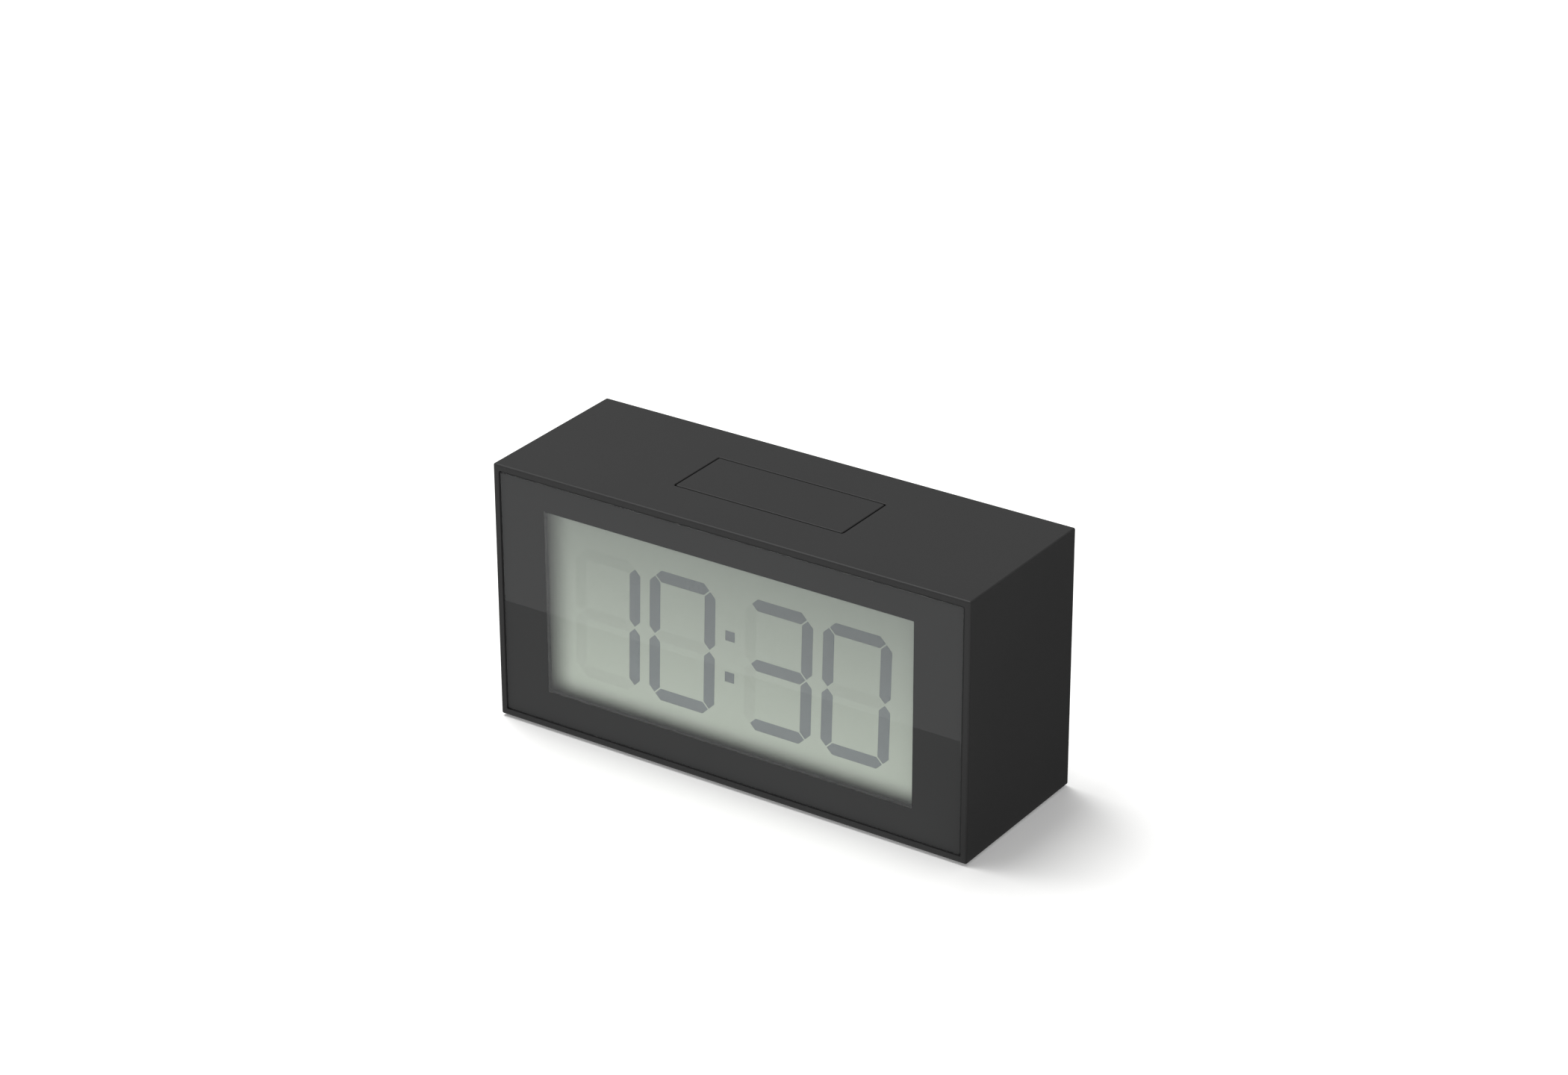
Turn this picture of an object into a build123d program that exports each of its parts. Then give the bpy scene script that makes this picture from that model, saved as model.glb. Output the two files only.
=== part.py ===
from build123d import *
import math
import os

# A battery desk clock: a block-shaped case with a large liquid crystal display behind a flush
# front lens, and a flush snooze button in its top.
#
# Millimetres. X runs along the front, Y from the front to the back and Z up. The origin is on
# the table, under the middle of the case. A depth is a distance behind the front face.

os.makedirs("parts", exist_ok=True)

# Case
WIDTH = 135.0
DEPTH = 46.6
CASE_HEIGHT = 68.2
STAND = 0.6
WALL = 2.2
RIM = 1.65
EDGE_RADIUS = 0.5
SMALL_RADIUS = 0.25
MOUTH_RADIUS = 0.15
CASE_TOP = STAND + CASE_HEIGHT
MID_Z = STAND + CASE_HEIGHT / 2
CAVITY_WIDTH = WIDTH - 2 * WALL
CAVITY_HEIGHT = CASE_HEIGHT - 2 * WALL
FRAMED_WIDTH = WIDTH - 2 * RIM
FRAMED_HEIGHT = CASE_HEIGHT - 2 * RIM
COVER_THICKNESS = 2.0
COVER_INNER = DEPTH - COVER_THICKNESS
CORNER_BOSS_X = 62.0
CORNER_BOSS_Z = 28.5
CORNER_BOSS_RADIUS = 3.6
BOSS_GAP = 0.05
CORNER_BOSS_BACK = COVER_INNER - BOSS_GAP

# Front lens and window
LENS_POCKET = 1.0
LENS_RECESS = 0.1
LENS_THICKNESS = 0.8
LENS_GAP = 0.3
LENS_EDGE_RADIUS = 0.3
LENS_BACK = LENS_RECESS + LENS_THICKNESS
FRONT_WALL_BACK = 2.15
WINDOW_WIDTH = 105.0
WINDOW_HEIGHT = 48.8
WINDOW_X = -0.4
WINDOW_Z = MID_Z + 0.3

# Display stack, front to back
GLASS_WIDTH = 112.0
GLASS_HEIGHT = 57.0
GLASS_THICKNESS = 0.55
FILM_THICKNESS = 0.15
CONTACT_LEDGE = 3.4
CELL_GAP = 0.03
STACK_FRONT = 2.2
FRONT_GLASS_FRONT = STACK_FRONT + FILM_THICKNESS
CELL_FRONT = FRONT_GLASS_FRONT + GLASS_THICKNESS
CELL_BACK = CELL_FRONT + CELL_GAP
REAR_GLASS_BACK = CELL_BACK + GLASS_THICKNESS
REFLECTOR_BACK = REAR_GLASS_BACK + FILM_THICKNESS
GUIDE_WIDTH = 107.6
GUIDE_HEIGHT = 50.6
GUIDE_FRONT = 4.1
GUIDE_BACK = 6.6

# Digits
STROKE = 3.1
DIGIT_WIDTH = 15.9
DIGIT_HEIGHT = 31.9
DIGIT_PITCH = 21.8
PAIR_PITCH = 27.6
TIP_GAP = 0.25
SLANT = math.tan(math.radians(1.5))
COLON_SIZE = 2.7
COLON_PITCH = 11.0
DIGITS_Z = MID_Z - 0.36
SEGMENT_CLEARANCE = 0.005

# Display frame and main board
FRAME_WIDTH = 115.4
FRAME_HEIGHT = 60.4
FRAME_FRONT = 2.3
FRAME_BACK = 7.9
FRAME_FIT = 0.2
FRAME_CORNER_RADIUS = 1.0
FRAME_HOLE_DEPTH = 3.0
FRAME_WINDOW_WIDTH = 40.0
FRAME_WINDOW_HEIGHT = 36.0
FRAME_WINDOW_PITCH = 46.0
FRAME_WINDOW_RADIUS = 3.0
EAR_X = 61.0
EAR_Z = 11.0
EAR_FRONT = 5.0
EAR_THICKNESS = 1.6
EAR_LENGTH = 9.0
EAR_HEIGHT = 6.4
EAR_RADIUS = 1.5
EAR_INSET = 1.0
EAR_BOSS_RADIUS = 2.6
EAR_HOLE_FRONT = 1.8
STRIP_LENGTH = 100.0
STRIP_WIDTH = 2.0
STRIP_FIT = 0.2
STRIP_Z = MID_Z - GLASS_HEIGHT / 2 + CONTACT_LEDGE / 2
BOARD_WIDTH = 114.8
BOARD_HEIGHT = 58.0
BOARD_RADIUS = 1.0
BOARD_FRONT = 7.95
BOARD_THICKNESS = 1.6
BOARD_BACK = BOARD_FRONT + BOARD_THICKNESS
BOARD_SCREW_X = 55.5
BOARD_SCREW_Z = 27.0
LED_X = 52.8
LED_SIZE = 1.6
LED_HEIGHT = 3.2
LED_FRONT = GUIDE_FRONT + 0.4
LED_FIT = 0.3
LED_RADIUS = 0.2
NOTCH_DEPTH = 2.2
NOTCH_HEIGHT = 4.2
CHIP_CAP_RADIUS = 7.5
CHIP_CAP_HEIGHT = 2.0
CHIP_CAP_X = -12.0
CHIP_CAP_Z = MID_Z - 4.0
CRYSTAL_RADIUS = 1.5
CRYSTAL_LENGTH = 8.0
CRYSTAL_X = 4.0
CRYSTAL_Z = MID_Z + 2.0
CRYSTAL_LEAD_RADIUS = 0.18
CRYSTAL_LEAD_SPREAD = 0.5
CRYSTAL_LEAD_REACH = 2.2
CHIP_X = 18.0
CHIP_Z = MID_Z - 10.0
CHIP_LENGTH = 2.0
CHIP_WIDTH = 1.25
CHIP_HEIGHT = 0.6
CAN_X = 34.0
CAN_Z = MID_Z - 8.0
CAN_RADIUS = 2.5
CAN_HEIGHT = 5.4
CAN_EDGE_RADIUS = 0.4

# Screws
SCREW_RADIUS = 1.0
SCREW_HOLE_RADIUS = 1.05
CLEARANCE_RADIUS = 1.25
BOARD_HOLE_RADIUS = 1.15
SCREW_HEAD_RADIUS = 1.9
SCREW_HEAD_HEIGHT = 1.3
SCREW_HEAD_EDGE = 0.5
SCREW_RECESS_WIDTH = 0.5
SCREW_RECESS_DEPTH = 0.7
SCREW_LENGTH = 6.0
COVER_SCREW_LENGTH = 12.0
EAR_SCREW_LENGTH = 4.6
BOARD_SCREW_LENGTH = 4.4
KEY_BOARD_SCREW_LENGTH = 5.6
SNOOZE_BOARD_SCREW_LENGTH = 2.7
SNOOZE_BOARD_SCREW_HEAD = 1.8

# Snooze button
BUTTON_OPENING_WIDTH = 48.0
BUTTON_OPENING_DEPTH = 19.0
BUTTON_GAP = 0.3
FLANGE_WIDTH = 51.0
FLANGE_DEPTH = 22.0
FLANGE_RADIUS = 1.0
FLANGE_TOP = CASE_TOP - WALL - 0.05
FLANGE_BOTTOM = FLANGE_TOP - 1.1
PUSHER_RADIUS = 2.4
BRIDGE_TOP = 59.2
BRIDGE_THICKNESS = 1.6
BRIDGE_WIDTH = 66.0
BRIDGE_DEPTH = 20.0
BRIDGE_RADIUS = 2.0
BRIDGE_SCREW_X = 29.5
BRIDGE_BOSS_RADIUS = 2.9
POST_X = 19.0
POST_RADIUS = 1.6
POST_HOLE_RADIUS = 1.68
POST_BOTTOM = BRIDGE_TOP - BRIDGE_THICKNESS - 0.6
SPRING_RADIUS = 2.6
SPRING_WIRE = 0.5
SPRING_TURNS = 4
SNOOZE_BOARD_WIDTH = 26.0
SNOOZE_BOARD_DEPTH = 14.0
SNOOZE_BOARD_RADIUS = 1.0
SNOOZE_BOARD_TOP = BRIDGE_TOP + 1.2
SNOOZE_SCREW_X = 10.0

# Tactile switches
SWITCH_SIZE = 6.0
SWITCH_HEIGHT = 3.5
PLUNGER_RADIUS = 1.7
PLUNGER_HOLE_RADIUS = 1.75
PLUNGER_RISE = 0.55
PLUNGER_DEPTH = 1.6
SWITCH_WELL = 2.4
SWITCH_RADIUS = 0.4

# Rear cover
COVER_FIT = 0.2
BAY_X = 28.5
BAY_Z = MID_Z - 3.0
BAY_LENGTH = 50.0
BAY_HEIGHT = 22.6
BAY_WALL = 1.4
BAY_FLOOR = 31.2
BAY_RIM = 43.2
BAY_RIM_MARGIN = 4.2
TAB_SLOT_WIDTH = 1.0
TAB_SLOT_HEIGHT = 3.4
TAB_HEIGHT = 3.0
TAB_REACH = 2.0
DOOR_LENGTH = 56.0
DOOR_HEIGHT = 28.0
DOOR_FIT = 0.2
DOOR_THICKNESS = COVER_THICKNESS - 0.1
DOOR_EDGE_RADIUS = DOOR_THICKNESS / 2
DOOR_PIN_RADIUS = 0.6
DOOR_PIN_HOLE_RADIUS = 0.65
DOOR_PIN_LENGTH = 1.2
DOOR_AXIS_Z = BAY_Z - DOOR_HEIGHT / 2 + DOOR_EDGE_RADIUS
DOOR_AXIS_DEPTH = DEPTH - DOOR_EDGE_RADIUS
GRIP_WIDTH = 14.0
GRIP_GROOVES = 4
GRIP_PITCH = 1.6
GRIP_GROOVE = 0.8
GRIP_DEPTH = 0.4
GRIP_INSET = 5.0
NAIL_NOTCH_HEIGHT = 7.0
NAIL_NOTCH_RADIUS = 2.0
NAIL_NOTCH_DEPTH = 1.0

# Batteries, AAA size
CELL_LENGTH = 43.5
CELL_RADIUS = 5.25
CELL_NUB_LENGTH = 1.0
CELL_NUB_RADIUS = 1.9
CELL_PITCH = 11.4
CELL_DEPTH = 38.2
CELL_EDGE_RADIUS = 0.4
CONTACT_THICKNESS = 0.4
CONTACT_FIT = 0.1
CONTACT_WIDTH = 9.0
CONTACT_FRONT = BAY_FLOOR + BAY_WALL + 0.2
CONTACT_BACK = 43.0
LINK_HEIGHT = 20.4
BATTERY_SPRING_WIRE = 0.6
BATTERY_SPRING_BASE_RADIUS = 3.8
BATTERY_SPRING_TURNS = 3
BATTERY_SPRING_CONE = 12.0
BATTERY_SPRING_GAP = 0.05

# Rear keys
KEY_NAMES = ("time_key", "alarm_key", "minus_key", "plus_key")
KEY_X = (-49.0, -38.0, -27.0, -16.0)
KEY_Z = MID_Z + 14.0
KEY_RADIUS = 3.4
KEY_GAP = 0.2
KEY_FACE_DEPTH = DEPTH - 0.1
KEY_FLANGE_RADIUS = 4.4
KEY_EDGE_RADIUS = 0.4
KEY_FLANGE_BACK = COVER_INNER - 0.05
KEY_FLANGE_FRONT = 43.2
KEY_BOARD_X = -32.0
KEY_BOARD_Z = MID_Z + 8.0
KEY_BOARD_WIDTH = 53.0
KEY_BOARD_HEIGHT = 24.0
KEY_BOARD_BACK = KEY_FLANGE_FRONT - PLUNGER_RISE - SWITCH_HEIGHT
KEY_BOARD_FRONT = KEY_BOARD_BACK - 1.6
KEY_POST_X = 24.0
KEY_POST_Z = 9.5
KEY_POST_RADIUS = 2.1
KEY_POST_HOLE = 5.0
KEY_BOARD_RADIUS = 1.0

# Alarm slide switch
ALARM_X = -20.0
ALARM_Z = MID_Z + 1.0
ALARM_TRAVEL = 3.0
KNOB_WIDTH = 5.0
KNOB_HEIGHT = 4.6
KNOB_FLANGE_WIDTH = 14.0
KNOB_FLANGE_HEIGHT = 8.0
KNOB_FACE_DEPTH = DEPTH - 0.2
KNOB_FLANGE_FRONT = KEY_FLANGE_FRONT + 0.2
KNOB_GROOVES = 4
KNOB_GROOVE_PITCH = 1.2
KNOB_GROOVE = 0.5
SLOT_CLEARANCE = 0.2
LEVER_SIZE = 1.8
ALARM_CASE_WIDTH = 13.0
ALARM_CASE_HEIGHT = 6.0

# Sounder
BUZZER_X = -46.0
BUZZER_Z = 19.0
BUZZER_RADIUS = 11.0
BUZZER_WALL = 1.2
BUZZER_FRONT = 40.5
BUZZER_DISC_DEPTH = 41.9
BUZZER_DISC_THICKNESS = 0.4
SOUND_HOLE_RADIUS = 0.8
SOUND_RING_RADIUS = 4.0
SOUND_HOLES = 6

# Feet
FOOT_X = 57.0
FOOT_Y = 15.5
FOOT_RADIUS = 5.0
FOOT_THICKNESS = 1.6
FOOT_RECESS = FOOT_THICKNESS - STAND
FOOT_FIT = 0.1
FOOT_EDGE_RADIUS = 0.2

# Wiring
RIBBON_WIDTH = 8.0
RIBBON_THICKNESS = 0.3
RIBBON_BEND = 2.0
KEY_RIBBON_BEND = 6.0
KEY_RIBBON_LOW_Z = 18.0
KEY_RIBBON_END_Z = 34.0
SNOOZE_RIBBON_END_Z = MID_Z + 12.0
LEAD_RADIUS = 0.6
LEAD_BEND = 4.5
LEAD_SHIFT_X = 7.0
LEAD_SHIFT_Z = 2.0


def depth_plane(depth):
    """A sketch plane parallel to the front, where sketch X is X and sketch Y is Z."""
    return Plane.XZ.offset(DEPTH / 2 - depth)


def to_y(depth):
    """The Y coordinate of a place at this depth."""
    return depth - DEPTH / 2


def save(builder, name):
    """Labels a finished piece and writes it."""
    builder.part.label = name
    export_step(builder.part, f"parts/{name}.step")


def screws(name, plane, places, length, head_radius=SCREW_HEAD_RADIUS):
    """Pan head screws whose heads rest on the plane and whose shanks run against its normal."""
    recess_length = 1.2 * head_radius
    with BuildPart() as fasteners:
        with BuildSketch(plane):
            with Locations(*places):
                Circle(head_radius)
        extrude(amount=SCREW_HEAD_HEIGHT)
        fillet(fasteners.faces().filter_by(GeomType.PLANE).sort_by(
            lambda face: plane.to_local_coords(face.center()).Z)[-len(places):].edges(),
            SCREW_HEAD_EDGE)
        with BuildSketch(plane.offset(SCREW_HEAD_HEIGHT)):
            with Locations(*places):
                Rectangle(recess_length, SCREW_RECESS_WIDTH)
                Rectangle(SCREW_RECESS_WIDTH, recess_length)
        extrude(amount=-SCREW_RECESS_DEPTH, mode=Mode.SUBTRACT)
        with BuildSketch(plane):
            with Locations(*places):
                Circle(SCREW_RADIUS)
        extrude(amount=-length)
    save(fasteners, name)


# Case ---------------------------------------------------------------------------------------

def make_case_shell():
    """The one-piece shell: front wall, top, bottom and sides, open at the back."""
    with BuildPart() as case_shell:
        with BuildSketch(Plane.XY.offset(STAND)):
            Rectangle(WIDTH, DEPTH)
        extrude(amount=CASE_HEIGHT)
        fillet(case_shell.edges(), EDGE_RADIUS)
        # Cavity, then the seat of the rear cover and the pocket of the lens
        with BuildSketch(depth_plane(DEPTH)):
            with Locations((0, MID_Z)):
                RectangleRounded(CAVITY_WIDTH, CAVITY_HEIGHT, EDGE_RADIUS)
        extrude(amount=DEPTH - FRONT_WALL_BACK, mode=Mode.SUBTRACT)
        with BuildSketch(depth_plane(DEPTH)):
            with Locations((0, MID_Z)):
                RectangleRounded(FRAMED_WIDTH, FRAMED_HEIGHT, EDGE_RADIUS)
        extrude(amount=COVER_THICKNESS, mode=Mode.SUBTRACT)
        with BuildSketch(depth_plane(LENS_POCKET)):
            with Locations((0, MID_Z)):
                RectangleRounded(FRAMED_WIDTH, FRAMED_HEIGHT, EDGE_RADIUS)
        extrude(amount=LENS_POCKET, mode=Mode.SUBTRACT)
        with BuildSketch(depth_plane(FRONT_WALL_BACK)):
            with Locations((WINDOW_X, WINDOW_Z)):
                Rectangle(WINDOW_WIDTH, WINDOW_HEIGHT)
        extrude(amount=FRONT_WALL_BACK, mode=Mode.SUBTRACT)
        # Softened mouth of the lens pocket
        mouth = case_shell.edges().filter_by_position(Axis.Y, -DEPTH / 2, -DEPTH / 2)
        fillet(mouth.filter_by(lambda edge: abs(edge.center().X) < FRAMED_WIDTH / 2 + 0.01
                               and abs(edge.center().Z - MID_Z) < FRAMED_HEIGHT / 2 + 0.01), MOUTH_RADIUS)
        # Screw bosses of the rear cover
        with BuildSketch(depth_plane(CORNER_BOSS_BACK)):
            with Locations((0, MID_Z)):
                with GridLocations(2 * CORNER_BOSS_X, 2 * CORNER_BOSS_Z, 2, 2):
                    Circle(CORNER_BOSS_RADIUS)
        extrude(amount=CORNER_BOSS_BACK - FRONT_WALL_BACK)
        with BuildSketch(depth_plane(COVER_INNER)):
            with Locations((0, MID_Z)):
                with GridLocations(2 * CORNER_BOSS_X, 2 * CORNER_BOSS_Z, 2, 2):
                    Circle(SCREW_HOLE_RADIUS)
        extrude(amount=COVER_SCREW_LENGTH, mode=Mode.SUBTRACT)
        # Bosses of the display frame
        with BuildSketch(depth_plane(EAR_FRONT)):
            with Locations((0, MID_Z)):
                with GridLocations(2 * EAR_X, 2 * EAR_Z, 2, 2):
                    Circle(EAR_BOSS_RADIUS)
        extrude(amount=EAR_FRONT - FRONT_WALL_BACK)
        with BuildSketch(depth_plane(EAR_FRONT)):
            with Locations((0, MID_Z)):
                with GridLocations(2 * EAR_X, 2 * EAR_Z, 2, 2):
                    Circle(SCREW_HOLE_RADIUS)
        extrude(amount=EAR_FRONT - EAR_HOLE_FRONT, mode=Mode.SUBTRACT)
        # Snooze button opening with a softened mouth, and the bosses of its bridge
        with BuildSketch(Plane.XY.offset(CASE_TOP)):
            RectangleRounded(BUTTON_OPENING_WIDTH, BUTTON_OPENING_DEPTH, EDGE_RADIUS)
        extrude(amount=-WALL, mode=Mode.SUBTRACT)
        lip = case_shell.edges().filter_by_position(Axis.Z, CASE_TOP, CASE_TOP)
        fillet(lip.filter_by(lambda edge: abs(edge.center().X) < BUTTON_OPENING_WIDTH / 2 + 0.01
                             and abs(edge.center().Y) < BUTTON_OPENING_DEPTH / 2 + 0.01),
               SMALL_RADIUS)
        with BuildSketch(Plane.XY.offset(BRIDGE_TOP)):
            with GridLocations(2 * BRIDGE_SCREW_X, 0, 2, 1):
                Circle(BRIDGE_BOSS_RADIUS)
        extrude(amount=CASE_TOP - WALL - BRIDGE_TOP)
        with BuildSketch(Plane.XY.offset(BRIDGE_TOP)):
            with GridLocations(2 * BRIDGE_SCREW_X, 0, 2, 1):
                Circle(SCREW_HOLE_RADIUS)
        extrude(amount=SCREW_LENGTH, mode=Mode.SUBTRACT)
        # Seats of the feet
        with BuildSketch(Plane.XY.offset(STAND)):
            with GridLocations(2 * FOOT_X, 2 * FOOT_Y, 2, 2):
                Circle(FOOT_RADIUS + FOOT_FIT)
        extrude(amount=FOOT_RECESS, mode=Mode.SUBTRACT)
    save(case_shell, "case_shell")


def make_front_lens():
    """The clear acrylic sheet that fills the whole front inside the rim."""
    with BuildPart() as front_lens:
        with BuildSketch(depth_plane(LENS_BACK)):
            with Locations((0, MID_Z)):
                RectangleRounded(FRAMED_WIDTH - 2 * LENS_GAP, FRAMED_HEIGHT - 2 * LENS_GAP,
                                 EDGE_RADIUS)
        extrude(amount=LENS_THICKNESS)
        fillet(front_lens.faces().sort_by(Axis.Y)[0].edges(), LENS_EDGE_RADIUS)
    save(front_lens, "front_lens")


def make_lens_mask():
    """The black adhesive mask that borders the window and holds the lens to the front wall."""
    with BuildPart() as lens_mask:
        with BuildSketch(depth_plane(LENS_POCKET)):
            with Locations((0, MID_Z)):
                RectangleRounded(FRAMED_WIDTH - 2 * LENS_GAP, FRAMED_HEIGHT - 2 * LENS_GAP,
                                 EDGE_RADIUS)
            with Locations((WINDOW_X, WINDOW_Z)):
                Rectangle(WINDOW_WIDTH, WINDOW_HEIGHT, mode=Mode.SUBTRACT)
        extrude(amount=LENS_POCKET - LENS_BACK)
    save(lens_mask, "lens_mask")


def make_feet():
    """Four round rubber feet, sunk in the bottom, that lift the case off the table."""
    with BuildPart() as feet:
        with BuildSketch(Plane.XY):
            with GridLocations(2 * FOOT_X, 2 * FOOT_Y, 2, 2):
                Circle(FOOT_RADIUS)
        extrude(amount=FOOT_THICKNESS)
        fillet(feet.edges().group_by(Axis.Z)[0], FOOT_EDGE_RADIUS)
    save(feet, "feet")


# Display ------------------------------------------------------------------------------------

def make_display_plate(name, front, back, width, height, z=MID_Z):
    """A flat rectangular layer of the display between two depths."""
    with BuildPart() as plate:
        with BuildSketch(depth_plane(back)):
            with Locations((0, z)):
                Rectangle(width, height)
        extrude(amount=back - front)
    save(plate, name)


def make_display_plates():
    """Polariser, front glass, shorter rear glass and reflector of the liquid crystal cell."""
    ledge_z = MID_Z + CONTACT_LEDGE / 2
    short = GLASS_HEIGHT - CONTACT_LEDGE
    film_width = GLASS_WIDTH - 1
    film_height = short - 1
    make_display_plate("lcd_front_polarizer", STACK_FRONT, FRONT_GLASS_FRONT,
                       film_width, film_height, z=ledge_z)
    make_display_plate("lcd_front_glass", FRONT_GLASS_FRONT, CELL_FRONT,
                       GLASS_WIDTH, GLASS_HEIGHT)
    make_display_plate("lcd_rear_glass", CELL_BACK, REAR_GLASS_BACK,
                       GLASS_WIDTH, short, z=ledge_z)
    make_display_plate("lcd_reflector", REAR_GLASS_BACK, REFLECTOR_BACK,
                       film_width, film_height, z=ledge_z)


SEGMENT_PLACES = {
    "top": (0, DIGIT_HEIGHT / 2, False),
    "upper_right": (DIGIT_WIDTH / 2, DIGIT_HEIGHT / 4, True),
    "lower_right": (DIGIT_WIDTH / 2, -DIGIT_HEIGHT / 4, True),
    "bottom": (0, -DIGIT_HEIGHT / 2, False),
    "lower_left": (-DIGIT_WIDTH / 2, -DIGIT_HEIGHT / 4, True),
    "upper_left": (-DIGIT_WIDTH / 2, DIGIT_HEIGHT / 4, True),
    "middle": (0, 0, False),
}
OUTER_RING = ("top", "upper_right", "lower_right", "bottom", "lower_left", "upper_left")
LIT = {
    1: ("upper_right", "lower_right"),
    0: OUTER_RING,
    3: ("top", "upper_right", "lower_right", "bottom", "middle"),
}
SHOWN_DIGITS = (1, 0, 3, 0)
DIGIT_CENTRES = (
    -PAIR_PITCH / 2 - DIGIT_PITCH,
    -PAIR_PITCH / 2,
    PAIR_PITCH / 2,
    PAIR_PITCH / 2 + DIGIT_PITCH,
)


def segment_outline(segment):
    """The six corners of one segment of a slanted digit, about the digit's centre."""
    x, z, upright = SEGMENT_PLACES[segment]
    tip = (DIGIT_HEIGHT / 4 if upright else DIGIT_WIDTH / 2) - TIP_GAP
    half = STROKE / 2
    corners = ((-tip, 0), (half - tip, half), (tip - half, half),
               (tip, 0), (tip - half, -half), (half - tip, -half))
    turned = [(z_, x_) if upright else (x_, z_) for x_, z_ in corners]
    return [(x + x_ + (z + z_) * SLANT, z + z_) for x_, z_ in turned]


def colon_outline(z):
    """The four corners of one square dot of the colon."""
    half = COLON_SIZE / 2
    corners = ((-half, -half), (half, -half), (half, half), (-half, half))
    return [(x_ + (z + z_) * SLANT, z + z_) for x_, z_ in corners]


def make_segments(name, outlines):
    """Flat plates of darkened liquid crystal in the gap between the two glasses."""
    with BuildPart() as segments:
        with BuildSketch(depth_plane(CELL_BACK - SEGMENT_CLEARANCE)):
            for centre, outline in outlines:
                with BuildLine():
                    Polyline(*[(WINDOW_X + centre + x, DIGITS_Z + z) for x, z in outline],
                             close=True)
                make_face()
        extrude(amount=CELL_GAP - 2 * SEGMENT_CLEARANCE)
    save(segments, name)


def make_all_segments():
    """The darkened segments of 10:30 with its colon, and the idle ones of the same digits."""
    shown = []
    idle = []
    for digit, centre in zip(SHOWN_DIGITS, DIGIT_CENTRES):
        for segment in SEGMENT_PLACES:
            group = shown if segment in LIT[digit] else idle
            group.append((centre, segment_outline(segment)))
    for z in (COLON_PITCH / 2, -COLON_PITCH / 2):
        shown.append((0, colon_outline(z)))
    make_segments("lcd_shown_segments", shown)
    make_segments("lcd_idle_segments", idle)


def make_light_guide():
    """The clear plate behind the display, notched at each side for a lamp."""
    with BuildPart() as light_guide:
        with BuildSketch(depth_plane(GUIDE_BACK)):
            with Locations((0, WINDOW_Z)):
                Rectangle(GUIDE_WIDTH, GUIDE_HEIGHT)
            with Locations((-GUIDE_WIDTH / 2, MID_Z), (GUIDE_WIDTH / 2, MID_Z)):
                Rectangle(2 * NOTCH_DEPTH, NOTCH_HEIGHT, mode=Mode.SUBTRACT)
        extrude(amount=GUIDE_BACK - GUIDE_FRONT)
    save(light_guide, "light_guide")


def make_backlight_leds():
    """Two lamps that stand on the main board and shine into the ends of the light guide."""
    with BuildPart() as backlight_leds:
        with BuildSketch(depth_plane(BOARD_FRONT)):
            with Locations((-LED_X, MID_Z), (LED_X, MID_Z)):
                Rectangle(LED_SIZE, LED_HEIGHT)
        extrude(amount=BOARD_FRONT - LED_FRONT)
        fillet(backlight_leds.faces().sort_by(Axis.Y)[:2].edges(), LED_RADIUS)
    save(backlight_leds, "backlight_leds")


def make_display_frame():
    """The moulded frame that holds the display and light guide against the front wall."""
    with BuildPart() as display_frame:
        with BuildSketch(depth_plane(FRAME_BACK)):
            with Locations((0, MID_Z)):
                RectangleRounded(FRAME_WIDTH, FRAME_HEIGHT, FRAME_CORNER_RADIUS)
        extrude(amount=FRAME_BACK - FRAME_FRONT)
        with BuildSketch(depth_plane(EAR_FRONT + EAR_THICKNESS)):
            with Locations((0, MID_Z)):
                with GridLocations(2 * (EAR_X - EAR_INSET), 2 * EAR_Z, 2, 2):
                    RectangleRounded(EAR_LENGTH, EAR_HEIGHT, EAR_RADIUS)
        extrude(amount=EAR_THICKNESS)
        # Seat of the glass, seat of the light guide, slot of the contact strip
        with BuildSketch(depth_plane(GUIDE_FRONT)):
            with Locations((0, MID_Z)):
                Rectangle(GLASS_WIDTH + 2 * FRAME_FIT, GLASS_HEIGHT + 2 * FRAME_FIT)
        extrude(amount=GUIDE_FRONT, mode=Mode.SUBTRACT)
        with BuildSketch(depth_plane(GUIDE_BACK + 0.1)):
            with Locations((0, WINDOW_Z)):
                Rectangle(GUIDE_WIDTH + 2 * FRAME_FIT, GUIDE_HEIGHT + 2 * FRAME_FIT)
        extrude(amount=GUIDE_BACK, mode=Mode.SUBTRACT)
        with BuildSketch(depth_plane(FRAME_BACK)):
            with Locations((0, STRIP_Z)):
                Rectangle(STRIP_LENGTH + 2 * STRIP_FIT, STRIP_WIDTH + 2 * STRIP_FIT)
            with Locations((-LED_X, MID_Z), (LED_X, MID_Z)):
                Rectangle(LED_SIZE + 2 * LED_FIT, LED_HEIGHT + 2 * LED_FIT)
            with Locations((0, WINDOW_Z)):
                with GridLocations(FRAME_WINDOW_PITCH, 0, 2, 1):
                    RectangleRounded(FRAME_WINDOW_WIDTH, FRAME_WINDOW_HEIGHT,
                                     FRAME_WINDOW_RADIUS)
        extrude(amount=FRAME_BACK, mode=Mode.SUBTRACT)
        with BuildSketch(depth_plane(FRAME_BACK)):
            with Locations((0, MID_Z)):
                with GridLocations(2 * BOARD_SCREW_X, 2 * BOARD_SCREW_Z, 2, 2):
                    Circle(SCREW_HOLE_RADIUS)
        extrude(amount=FRAME_HOLE_DEPTH, mode=Mode.SUBTRACT)
        with BuildSketch(depth_plane(FRAME_BACK)):
            with Locations((0, MID_Z)):
                with GridLocations(2 * EAR_X, 2 * EAR_Z, 2, 2):
                    Circle(CLEARANCE_RADIUS)
        extrude(amount=FRAME_BACK, mode=Mode.SUBTRACT)
    save(display_frame, "display_frame")


def make_contact_strip():
    """The striped rubber strip that joins the glass's contact ledge to the main board."""
    make_display_plate("contact_strip", CELL_FRONT, BOARD_FRONT, STRIP_LENGTH, STRIP_WIDTH,
                       z=STRIP_Z)


# Main board ---------------------------------------------------------------------------------

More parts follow.
